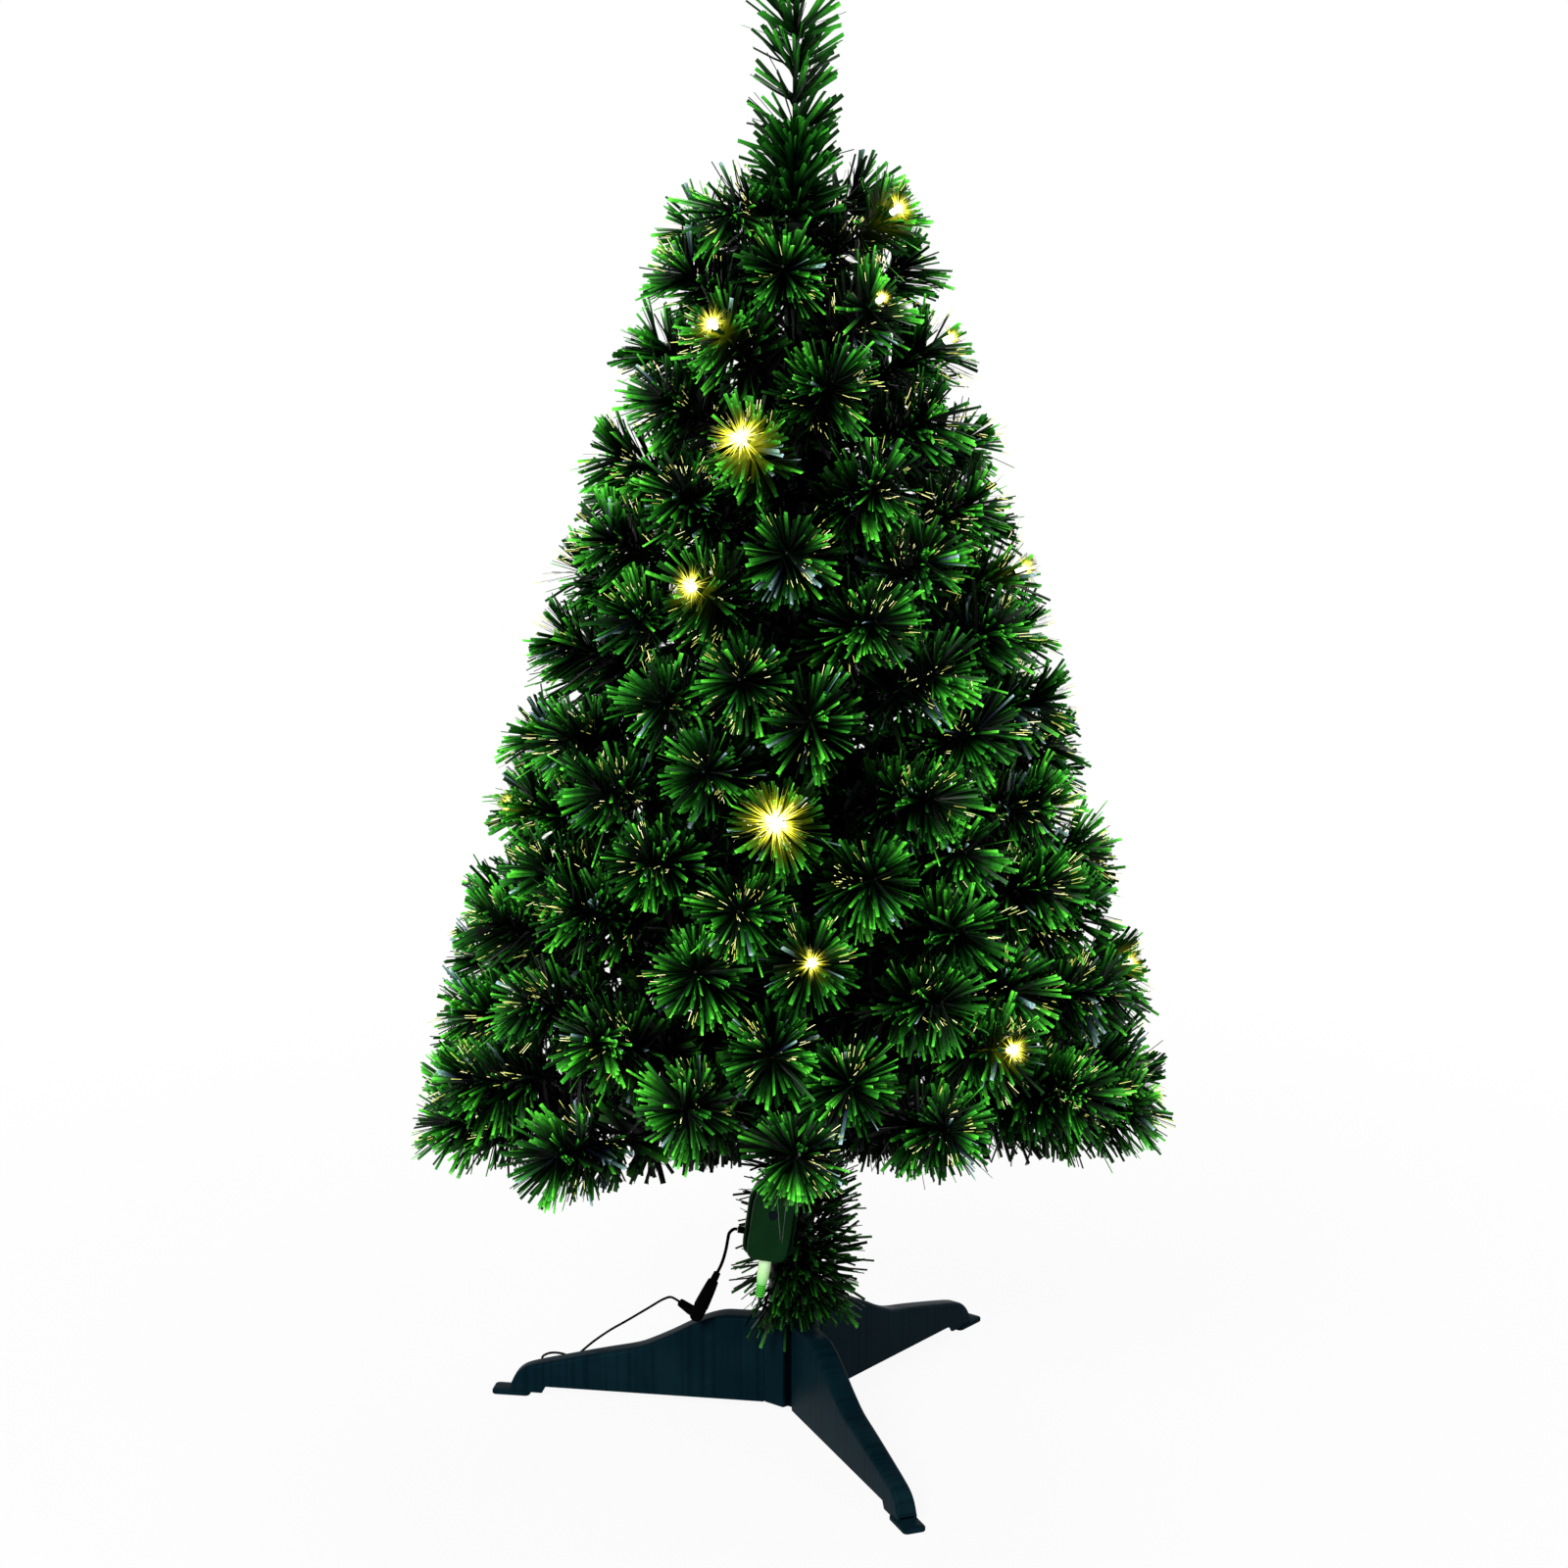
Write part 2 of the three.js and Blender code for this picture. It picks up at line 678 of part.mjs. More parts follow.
const bushFoot = trunkJoint - trunk.overlap;
const bushProfile = [
  [upperRadius + gap, bushFoot],
  [lowerRadius - trunk.wall - gap, bushFoot],
  [lowerRadius - trunk.wall - gap, lowerTop + gap],
  [lowerRadius, lowerTop + gap],
  [lowerRadius, trunkJoint - gap],
  [upperRadius + gap, trunkJoint - gap],
  [upperRadius + gap, bushFoot],
];
add("trunk_bush", solid(lathe(bushProfile, trunkSides)), looks.blackPlastic);
const trunkTop = foliage.outlineTop - trunk.topBelowOutline;
const upperLength = trunkTop - bushFoot;
const upperTube = ring(upperRadius - trunk.wall, upperRadius, bushFoot, upperLength, trunkSides);
add("trunk_upper", solid(upperTube), looks.paintedSteel);

// The leader: a plug in the top of the trunk, a flange on its rim and a rod of needles above.
const leaderSides = 6;

// The rod, every other face of which is drawn out into a needle.
function needledRod() {
  const flangeTop = trunkTop + gap + leader.flangeThickness;
  const firstNeedle = trunkTop + leader.bareLength;
  const levels = [flangeTop - embed];
  for (let rise = 0; rise <= leader.needledLength; rise += leader.needleStep) levels.push(firstNeedle + rise);
  const corner = (i, j) => {
    const angle = (2 * Math.PI * (j % leaderSides)) / leaderSides;
    const [x, y] = [leader.rodRadius * Math.cos(angle), leader.rodRadius * Math.sin(angle)];
    return vector(x, y, levels[i]);
  };
  const lean = leader.needleLeanDeg * degrees;
  const triangles = [];
  for (let j = 0; j < leaderSides; j += 1) {
    const middle = (2 * Math.PI * (j + 1 / 2)) / leaderSides;
    const aim = vector(Math.sin(lean) * Math.cos(middle), Math.sin(lean) * Math.sin(middle), Math.cos(lean));
    for (let i = 0; i + 1 < levels.length; i += 1) {
      const [a, b, c, d] = [corner(i, j), corner(i, j + 1), corner(i + 1, j + 1), corner(i + 1, j)];
      if (i === 0 || (i + j) % 2) {
        triangles.push([a, b, c], [a, c, d]);
      } else {
        const tip = middleOf([a, b, c, d]).addScaledVector(aim, leader.needleLength);
        triangles.push([a, b, tip], [b, c, tip], [c, d, tip], [d, a, tip]);
      }
    }
    const last = levels.length - 1;
    triangles.push([vector(0, 0, levels[0]), corner(0, j + 1), corner(0, j)]);
    triangles.push([corner(last, j), corner(last, j + 1), vector(0, 0, levels[last] + leader.point)]);
  }
  return fromTriangles(triangles);
}

const plugRadius = upperRadius - trunk.wall - gap;
const flangeFoot = trunkTop + gap;
const leaderPlug = [
  [0, trunkTop - leader.plugDepth],
  [plugRadius, trunkTop - leader.plugDepth],
  [plugRadius, flangeFoot],
  [leader.flangeRadius, flangeFoot],
  [leader.flangeRadius, flangeFoot + leader.flangeThickness],
  [0, flangeFoot + leader.flangeThickness],
];
add("leader", solid(lathe(leaderPlug, trunkSides)).add(needledRod()), looks.needlesLit);

// The light box: two case halves, a board with a switch and a lamp, sockets and a button.
const tilt = lightBox.tiltDeg * degrees;
const boxPlace = new THREE.Matrix4()
  .makeTranslation(...lightBox.bottomCentre)
  .multiply(new THREE.Matrix4().makeRotationY(tilt));
const inBox = (made) => made.transform(boxPlace.elements);
const boxPoint = (x, y, z) => vector(x, y, z).applyMatrix4(boxPlace);
const boxUp = vector(Math.sin(tilt), 0, Math.cos(tilt));
const up = vector(0, 0, 1);
const forward = vector(0, -1, 0);
const leftward = vector(-1, 0, 0);

// Right half of the case's outline: shares of its half width and of its height.
const caseOutlineShares = [[0.7, 0], [0.925, 0.05], [1, 0.13], [1, 0.77], [0.8, 0.95], [0.62, 1]];

function caseOutline(halfWidth, inset, y) {
  const right = caseOutlineShares.map(([across, rise]) => [
    across * (halfWidth - inset),
    inset + rise * (lightBox.height - 2 * inset),
  ]);
  const left = right.map(([x, z]) => [-x, z]).reverse();
  return [...right, ...left].map(([x, z]) => vector(x, y, z));
}

// Half of the case: open where the halves meet, and chamfered round its closed face.
function caseHalf(halfWidth, openY, closedY) {
  const inward = Math.sign(openY - closedY);
  const outer = [
    caseOutline(halfWidth, 0, openY),
    caseOutline(halfWidth, 0, closedY + inward * lightBox.chamfer),
    caseOutline(halfWidth, lightBox.chamfer, closedY),
  ];
  const hollow = [
    caseOutline(halfWidth, lightBox.wall, openY + inward * overrun),
    caseOutline(halfWidth, lightBox.wall, closedY + inward * lightBox.wall),
  ];
  const body = loft(outer, middleOf(outer[0]), middleOf(outer[2]));
  return body.subtract(loft(hollow, middleOf(hollow[0]), middleOf(hollow[1])));
}

// Openings in the walls of both halves: the fibres' above, the string's socket below.
const boxSides = 12;
const through = 2 * lightBox.wall;
const disc = (radius, length) => [[0, 0], [radius, 0], [radius, length], [0, length]];
const portFoot = vector(lamp.offset, 0, lightBox.height - through);
const portHole = turned(disc(ferrule.outer + gap, 2 * through), portFoot, up, boxSides);
const plugBore = stringPlug.noseRadius + gap;
const plugHole = turned(disc(plugBore, 2 * through), vector(0, 0, -through), up, boxSides);
const glandStart = vector(gap + lightBox.wall - lightBox.backHalfWidth, gland.depth, gland.height);
const glandHoleStart = glandStart.clone().add(vector(gap, 0, 0));
const glandHole = turned(disc(gland.shaft + gap, 2 * through), glandHoleStart, leftward, boxSides);

const trunkClearance = solid(rod(lowerRadius + gap, 0, trunkJoint, trunkSides));
const saddle = lightBox.saddle;
const clip = lightBox.clip;

function saddleBlock(grown) {
  const low = [saddle.left - grown, saddle.front, saddle.foot - grown];
  const high = [saddle.right + grown, saddle.back + grown, saddle.top + grown];
  return solid(block(low, high));
}

// The spring clip that holds the box on the trunk, open on its far side.
function trunkClip() {
  const outer = lowerRadius + gap + clip.wall;
  const band = solid(ring(lowerRadius + gap, outer, clip.foot, clip.top - clip.foot, trunkSides));
  const half = (clip.openingDeg / 2) * degrees;
  const reach = (2 * outer) / Math.cos(half);
  const aim = windowAim + Math.PI;
  const mouth = [
    [0, 0],
    [reach * Math.cos(aim - half), reach * Math.sin(aim - half)],
    [reach * Math.cos(aim + half), reach * Math.sin(aim + half)],
  ];
  return band.subtract(solid(prism(mouth, clip.foot - overrun, clip.top - clip.foot + 2 * overrun)));
}

const earLeft = caseOutlineShares[1][0] * lightBox.backHalfWidth - embed;
const ear = block(
  [earLeft, lightBox.backDepth - lightBox.earThickness - lightBox.chamfer, lightBox.earFoot],
  [lightBox.earReach, lightBox.backDepth - lightBox.chamfer, lightBox.earTop],
);
const boardBack = board.front + board.thickness;
const postLength = lightBox.backDepth - lightBox.wall + embed - boardBack - gap;
const posts = [-1, 1].map((side) => {
  const start = vector(side * lightBox.postReach, boardBack + gap + postLength, lightBox.postHeight);
  return turned(disc(lightBox.postRadius, postLength), start, forward, leadSides);
});
const backCase = inBox(
  joined([caseHalf(lightBox.backHalfWidth, 0, lightBox.backDepth), solid(ear), ...posts])
    .subtract(portHole)
    .subtract(plugHole)
    .subtract(glandHole),
);
const backSupport = joined([saddleBlock(0), trunkClip()]).subtract(trunkClearance);
add("light_box_back", backCase.add(backSupport), looks.boxPlastic);

const coverFront = -gap - lightBox.frontDepth;
const buttonHeight = lightBox.height - button.belowTop;
const buttonHole = turned(
  disc(button.capRadius + gap, 2 * through),
  vector(0, coverFront + through, buttonHeight),
  forward,
  boxSides,
);
const cover = caseHalf(lightBox.frontHalfWidth, -gap, coverFront)
  .subtract(portHole)
  .subtract(plugHole)
  .subtract(buttonHole);
add("light_box_front", inBox(cover), looks.boxPlastic);

const boardTop = lightBox.height - board.topBelowCase;
const boardBlock = block(
  [-board.halfWidth, board.front, board.foot],
  [board.halfWidth, boardBack, boardTop],
);
add("circuit_board", inBox(solid(boardBlock)), looks.board);

const switchHalf = tactSwitch.side / 2;
const switchBack = board.front - gap;
const switchFront = switchBack - tactSwitch.thickness;
const switchBlock = block(
  [-switchHalf, switchFront, buttonHeight - switchHalf],
  [switchHalf, switchBack, buttonHeight + switchHalf],
);
add("tact_switch", inBox(solid(switchBlock)), looks.blackPlastic);

// The button, from the foot of its stem to the face of its cap.
const stemFoot = switchFront - gap - button.travel;
const flangeFace = coverFront + lightBox.wall + gap;
const buttonLength = stemFoot - (coverFront - button.proud);
const buttonFlange = stemFoot - flangeFace;
const buttonProfile = [
  [0, 0],
  [button.stemRadius, 0],
  [button.stemRadius, buttonFlange - button.flangeThickness],
  [button.flangeRadius, buttonFlange - button.flangeThickness],
  [button.flangeRadius, buttonFlange],
  [button.capRadius, buttonFlange],
  [button.capRadius, buttonLength],
  [0, buttonLength],
];
const buttonSolid = turned(buttonProfile, vector(0, stemFoot, buttonHeight), forward, boxSides);
add("mode_button", inBox(buttonSolid), looks.palePlastic);

const lampProfile = [
  [0, 0],
  [lamp.radius, 0],
  [lamp.radius, lamp.shoulder],
  [lamp.crownRadius, lamp.length - embed],
  [0, lamp.length],
];
const lampFoot = vector(lamp.offset, 0, boardTop + gap);
add("lamp_led", inBox(turned(lampProfile, lampFoot, up, boxSides)), looks.clearFibre);

const sleeve = (inner, outer, length) => [[inner, 0], [outer, 0], [outer, length], [inner, length], [inner, 0]];
const ferruleLength = ferrule.depthInCase + ferrule.proud;
const ferruleProfile = sleeve(ferrule.outer - ferrule.wall, ferrule.outer, ferruleLength);
const ferruleFoot = vector(lamp.offset, 0, lightBox.height - ferrule.depthInCase);
add("fibre_ferrule", inBox(turned(ferruleProfile, ferruleFoot, up, boxSides)), looks.steel);

const socketProfile = sleeve(plugBore, plugBore + stringPlug.socketWall, stringPlug.socketLength);
const socketFoot = vector(0, 0, lightBox.wall + gap);
add("string_socket", inBox(turned(socketProfile, socketFoot, up, boxSides)), looks.blackPlastic);

const glandProfile = [
  [0, -gland.flangeLength],
  [gland.flange, -gland.flangeLength],
  [gland.flange, 0],
  [gland.shaft, 0],
  [gland.shaft, gland.shaftLength + lightBox.wall],
  [0, gland.shaftLength + lightBox.wall],
];
add("supply_gland", inBox(turned(glandProfile, glandStart, leftward, boxSides)), looks.blackPlastic);

// The bundle of optical fibres, from the ferrule through the trunk's opening and up the trunk.
const bundlePath = [
  [boxPoint(lamp.offset, 0, lightBox.height - fibres.depthInCase), fibres.lowerRadius],
  [boxPoint(lamp.offset, 0, lightBox.height + ferrule.proud + gap), fibres.lowerRadius],
];
// Distances from the axis and heights, as shares of the trunk's radius and of the opening's height.
const bundleBendShares = [[1.86, 0.973], [1.36, 0.99], [0.8, 1.006], [0.33, 1.024], [0, 1.058]];
for (const [reach, rise] of bundleBendShares) {
  const centre = windowOut.clone().multiplyScalar(reach * lowerRadius).setZ(rise * trunk.windowHeight);
  bundlePath.push([centre, fibres.lowerRadius]);
}
bundlePath.push([vector(0, 0, fibres.narrowed), fibres.upperRadius]);
bundlePath.push([vector(0, 0, trunkTop - fibres.topBelowTrunk), fibres.upperRadius]);
const acrossWindow = vector(windowOut.y, -windowOut.x, 0);
add("fibre_bundle", sweep(bundlePath, acrossWindow, leadSides), looks.clearFibre);

// The garland, cut away round the light box.
function boxEnvelope() {
  const clear = garland.boxClearance;
  const low = [-lightBox.earReach - clear, coverFront, -2 * clear];
  const high = [lightBox.earReach + clear, lightBox.backDepth + clear, lightBox.height + ferrule.outer];
  return inBox(solid(block(low, high)));
}

const garlandRing = [...garland.outside, ...garland.inside, garland.outside[0]];
const garlandRows = 7;
const garlandColumns = 10;
const garlandFirstDeg = -52;
const garlandSpreadDeg = 200;
const garlandLowLeanDeg = -24;
const garlandHighLeanDeg = 26;

function garlandRadiusAt(z) {
  const after = garland.outside.findIndex(([, height]) => height <= z);
  const [[r0, z0], [r1, z1]] = [garland.outside[after - 1], garland.outside[after]];
  return r0 + ((r1 - r0) * (z - z0)) / (z1 - z0);
}

function garlandNeedles() {
  const made = [];
  for (let row = 0; row < garlandRows; row += 1) {
    const share = row / (garlandRows - 1);
    const z = garland.lowestNeedle + share * (garland.highestNeedle - garland.lowestNeedle);
    const lean = (garlandLowLeanDeg + share * (garlandHighLeanDeg - garlandLowLeanDeg)) * degrees;
    const radius = garlandRadiusAt(z) * Math.cos(Math.PI / trunkSides);
    for (let column = 0; column < garlandColumns; column += 1) {
      const along = (column + (row % 2) / 2) / garlandColumns;
      const azimuth = (garlandFirstDeg + along * garlandSpreadDeg) * degrees;
      const out = vector(Math.cos(azimuth), Math.sin(azimuth), 0);
      const aim = out.clone().multiplyScalar(Math.cos(lean)).setZ(Math.sin(lean));
      const foot = out.multiplyScalar(radius - garland.needleRadius).setZ(z);
      made.push(needle(foot, aim, garland.needleLength, garland.needleRadius));
    }
  }
  return made;
}

const garlandSolid = joined([solid(lathe(garlandRing, trunkSides)), ...garlandNeedles()])
  .subtract(boxEnvelope())
  .subtract(saddleBlock(garland.boxClearance));
add("trunk_garland", garlandSolid, looks.needles);

// The string of small bulbs: its plug under the light box and its lead up to the branches.
const plugDown = boxUp.clone().negate();
const ribFoot = stringPlug.barrelLength + stringPlug.coneLength;
const plugProfile = [
  [0, -stringPlug.noseLength],
  [stringPlug.noseRadius, -stringPlug.noseLength],
  [stringPlug.noseRadius, gap],
  [stringPlug.barrelRadius, gap],
  [stringPlug.barrelRadius, stringPlug.barrelLength],
];
for (let i = 0; i < stringPlug.ribs; i += 1) {
  plugProfile.push([stringPlug.coneRadius, ribFoot + i * stringPlug.ribPitch]);
  plugProfile.push([stringPlug.grooveRadius, ribFoot + (i + 1 / 2) * stringPlug.ribPitch]);
}
const plugEnd = ribFoot + stringPlug.ribs * stringPlug.ribPitch;
plugProfile.push([stringPlug.coneRadius, plugEnd], [0, plugEnd]);
add("string_plug", turned(plugProfile, boxPoint(0, 0, 0), plugDown, boxSides), looks.palePlastic);

const stringRoute = [
  boxPoint(0, 0, -plugEnd - gap),
  vector(-28, -24.5, 101),
  vector(-27.5, -22, 97),
  vector(-27, -18, 97),
  vector(-26.5, -13, 102),
  vector(-26, -8, 110),
  vector(-26, -4, 120),
  vector(-25.5, -1, 134),
  vector(-23.5, 2, 160),
  vector(-21.5, 3, 180),
  vector(-19.8, 4, 200),
  vector(-16, 4, 214),
  vector(-13.6, 4, tierBoundary(0) - 2 * gap),
];
add("string_lead", tube(stringRoute, stringLead.diameter, 22), looks.needles);

// The supply: a lead from the gland, an in-line socket, and the power adapter's plug in it.
const supplyDown = vector(...supply.direction).normalize();
const socketStart = vector(...supply.socketStart);
const alongSupply = (s) => socketStart.clone().addScaledVector(supplyDown, s);
const glandEnd = glandStart.x - gland.shaftLength - lightBox.wall;
const supplyRoute = [
  boxPoint(glandEnd - gap, gland.depth, gland.height),
  boxPoint(glandEnd - supply.diameter, gland.depth, gland.height),
  vector(-51.2, -21.7, 158.6),
  vector(-52.6, -22.2, 153),
  vector(-53.6, -21.9, 147),
  vector(-55.4, -20.8, 139),
  alongSupply(-3 * supply.diameter),
  alongSupply(-gap),
];
add("supply_lead", tube(supplyRoute, supply.diameter, 12), looks.cordBlack);

// Outside of the in-line socket: shares of its length and of its mouth's radius.
const socketOutlineShares = [[0, 0.53], [0.2, 0.53], [0.26, 0.75], [0.55, 0.88], [1, 1]];
const mouthRadius = supply.headRadius + gap;
const barrelRadius = supply.barrelDiameter / 2;
const inlineProfile = [
  [0, 0],
  ...socketOutlineShares.map(([along, width]) => [width * mouthRadius, along * supply.socketLength]),
  [barrelRadius + gap, supply.socketLength],
  [barrelRadius + gap, supply.socketLength - supply.boreDepth],
  [0, supply.socketLength - supply.boreDepth],
];
add("inline_socket", turned(inlineProfile, socketStart, supplyDown, boxSides), looks.blackPlastic);

const barrelFoot = supply.socketLength - supply.barrelLength;
const barrel = turned(disc(barrelRadius, supply.barrelLength), alongSupply(barrelFoot), supplyDown, boxSides);
add("dc_plug_barrel", barrel, looks.steel);

// The angled plug: a head under the socket and a tapered arm.
const headFoot = supply.socketLength + gap;
const elbow = alongSupply(headFoot + supply.elbow);
const headProfile = [
  [0, 0],
  [supply.headRadius, 0],
  [supply.headRadius, supply.elbow + supply.armRadius - embed],
  [supply.headRadius - overrun, supply.elbow + supply.armRadius + embed],
  [0, supply.elbow + supply.armRadius + embed],
];
const armAim = vector(...supply.armDirection).normalize();
const armProfile = [
  [0, 0],
  [supply.armRadius, 0],
  [supply.armEndRadius, supply.armLength],
  [0, supply.armLength],
];
const plugBody = turned(headProfile, alongSupply(headFoot), supplyDown, boxSides).add(
  turned(armProfile, elbow, armAim, boxSides),
);
add("dc_plug_body", plugBody, looks.blackPlastic);

// The coil in the adapter's lead: it spirals in and out, a layer higher after each reversal.
class CoilCurve extends THREE.Curve {
  constructor() {
    super();
    this.steps = coilTurns * coilStepsInTurn + 2;
  }
  // Point of the coil after a number of turns.
  onTurn(turn) {
    const turnsInLayer = coilTurns / coilLayers;
    const layer = Math.min(Math.floor(turn / turnsInLayer), coilLayers - 1);
    const within = turn - layer * turnsInLayer;
    const outward = layer % 2 ? within : turnsInLayer - within;
    const radius = coil.innerRadius + coil.pitch * outward;
    let climbed = 0;
    for (let change = 1; change < coilLayers; change += 1) {
      const progress = 2 * (turn - change * turnsInLayer) + 1 / 2;
      climbed += Math.min(1, Math.max(0, progress));
    }
    const angle = coilStartDeg * degrees - 2 * Math.PI * turn;
    const [x, y] = coil.centre;
    const z = coil.baseHeight + climbed * coil.pitch;
    return vector(x + radius * Math.cos(angle), y + radius * Math.sin(angle), z);
  }
  getPoint(t) {
    const step = t * this.steps;
    const turn = Math.min(coilTurns, Math.max(0, (step - 1) / coilStepsInTurn));
    const past = step < 1 ? step - 1 : Math.max(0, step - (this.steps - 1));
    const angle = coilStartDeg * degrees;
    const run = vector(Math.sin(angle), -Math.cos(angle), 0);
    return this.onTurn(turn).addScaledVector(run, past * adapterLead.diameter);
  }
  getPointAt(u) {
    return this.getPoint(u);
  }
  getTangentAt(u) {
    return this.getTangent(u);
  }
}

const coilCurve = new CoilCurve();
const coilPoints = coilCurve.getPoints(coilCurve.steps);

function leastSelfGap(points) {
  let least = Infinity;
  for (let i = 0; i < points.length; i += 1) {
    for (let j = i + coilStepsInTurn / 2; j < points.length; j += 1) {
      least = Math.min(least, points[i].distanceTo(points[j]));
    }
  }
  return least - adapterLead.diameter;
}

console.log(`adapter_coil: least self gap ${leastSelfGap(coilPoints).toFixed(2)} mm`);
const coilSolid = tubeAlong(coilCurve, adapterLead.diameter, coilCurve.steps, coilSides);
add("adapter_coil", coilSolid, looks.cordBlack);

// The tie round the coil, opposite its ends.
function tieBand() {
  const lead = adapterLead.diameter / 2;
  const slack = coilTie.innerSlack;
  const outerRadius = coil.innerRadius + (coil.pitch * coilTurns) / coilLayers;
  const low = [coil.innerRadius - lead - slack, coil.baseHeight - lead - gap];
  const high = [outerRadius + lead + gap, coil.baseHeight + coil.pitch * (coilLayers - 1) + lead + gap];
  const half = coilTie.width / 2;
  const grown = coilTie.thickness;
  const outer = block([low[0] - grown, -half, low[1] - grown], [high[0] + grown, half, high[1] + grown]);
  const inner = block([low[0], -half - overrun, low[1]], [high[0], half + overrun, high[1]]);
  return solid(outer).subtract(solid(inner));
}

const tieDeg = coilStartDeg - (360 * tieStepsRound) / coilStepsInTurn;
add("coil_tie", tieBand().rotate([0, 0, tieDeg]).translate([...coil.centre, 0]), looks.blackPlastic);

const coilRun = coilPoints[1].clone().sub(coilPoints[0]).normalize();
const coilStart = coilPoints[0];
const coilEnd = coilPoints[coilPoints.length - 1];
const adapterRoute = [
  elbow.clone().addScaledVector(armAim, supply.armLength + gap),
  elbow.clone().addScaledVector(armAim, supply.armLength + 3 * adapterLead.diameter),
  vector(-103, 8.5, 88.5),
  vector(-119, 18, 77),
  vector(-135.5, 27, 65),
  vector(-150, 34.5, 53.5),
  vector(-164, 41, 41),
  vector(-176, 48, 28),
  vector(-187, 58, 15),
  vector(-197, 70, 5.5),
  vector(-205, 83, 1.8),
  vector(-210, 96, 1.3),
  vector(-210, 107, 1.3),
  vector(-204, 113.5, 1.3),
  vector(-196, 112.5, 1.3),
  vector(-187, 105, 1.3),
  vector(-176, 96.5, 1.3),
  vector(-163, 89.5, 1.4),
  vector(-151, 87, 1.9),
  coilStart.clone().addScaledVector(coilRun, -2 * adapterLead.diameter),
  coilStart.clone().addScaledVector(coilRun, -gap),
];
add("adapter_lead", tube(adapterRoute, adapterLead.diameter, 36), looks.cordBlack);

const [adapterX, adapterY] = adapter.centre;
const adapterLeft = adapterX - adapter.length / 2;
const glandTip = adapterLeft - adapter.glandLength;
const tailRoute = [
  coilEnd.clone().addScaledVector(coilRun, gap),
  coilEnd.clone().addScaledVector(coilRun, 2 * adapterLead.diameter),
  vector(-126, 94, 10.7),
  vector(-118.5, 91.5, 12),
  vector(-113, 84, 14),
  vector(-109.5, 75.5, 15.6),
  vector(glandTip - 2 * adapterLead.diameter, adapter.glandY + gap, adapter.glandZ),
  vector(glandTip - gap, adapter.glandY, adapter.glandZ),
];
add("coil_tail", tube(tailRoute, adapterLead.diameter, 14), looks.cordBlack);

// The power adapter: a block with rounded corners and edges, a lead gland and two flat pins.
const cornerSteps = 3;

function adapterRing(inset, z) {
  const corner = adapter.corner - inset;
  const [halfX, halfY] = [adapter.length / 2 - adapter.corner, adapter.width / 2 - adapter.corner];
  const points = [];
  [[1, 1], [-1, 1], [-1, -1], [1, -1]].forEach(([sx, sy], quarter) => {
    for (let i = 0; i < cornerSteps; i += 1) {
      const angle = ((quarter + i / (cornerSteps - 1)) * Math.PI) / 2;
      const x = adapterX + sx * halfX + corner * Math.cos(angle);
      points.push(vector(x, adapterY + sy * halfY + corner * Math.sin(angle), z));
    }
  });
  return points;
}

const adapterRings = [
  adapterRing(adapter.edge, 0),
  adapterRing(0, adapter.edge),
  adapterRing(0, adapter.height - adapter.edge),
  adapterRing(adapter.edge, adapter.height),
];
const adapterCentre = (z) => vector(adapterX, adapterY, z);
const adapterBlock = loft(adapterRings, adapterCentre(0), adapterCentre(adapter.height));
const glandBase = vector(adapterLeft + embed, adapter.glandY, adapter.glandZ);
const adapterGland = disc(adapter.glandRadius, adapter.glandLength + embed);
const adapterBody = adapterBlock.add(turned(adapterGland, glandBase, leftward, leadSides));
add("power_adapter", adapterBody, looks.blackPlastic);

const pinFoot = adapterY + adapter.width / 2 + gap;
for (const [name, side] of [["left", -1], ["right", 1]]) {
  const x = adapterX + (side * adapter.pinSpacing) / 2;
  const [halfThick, halfTall, z] = [adapter.pinThickness / 2, adapter.pinHeight / 2, adapter.height / 2];
  const low = [x - halfThick, pinFoot, z - halfTall];
  const high = [x + halfThick, pinFoot + adapter.pinLength, z + halfTall];
  add(`adapter_pin_${name}`, solid(block(low, high)), looks.brass);
}

// Small bulbs of the string, each at the end of the branch with the given place in the plan.
const bulbBranches = [25, 37, 45, 68, 70, 104, 107, 122, 131, 132, 134, 141];
const bulbProfile = [
  [0, 0],
  [bulb.baseRadius, 0],
  [bulb.collarRadius, bulb.collarFoot],
  [bulb.domeRadius, bulb.collarTop],
  [bulb.domeRadius, bulb.length - bulb.domeRadius],
  [0, bulb.length],
];
const bulbSides = 6;
const bulbSeat = gap + (bulb.baseRadius * foliage.tipRecess) / foliage.brushValley;
bulbBranches.forEach((index, i) => {
  const { root, direction, length } = branches[index];
  const dish = length - foliage.needleReach - foliage.tipRecess;
  const start = root.clone().addScaledVector(direction, dish + bulbSeat);
  const number = String(i + 1).padStart(2, "0");
  add(`string_bulb_${number}`, turned(bulbProfile, start, direction, bulbSides), looks.bulbLit);
});

export default tree;
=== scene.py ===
# %% [markdown]
# A fiber optic christmas tree stands on three plastic legs. Film needles on twisted wires make
# its branches, a bundle of optical fibres climbs its trunk, and a small light box feeds them.
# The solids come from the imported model. Here each of them gets its finished shape and surface.

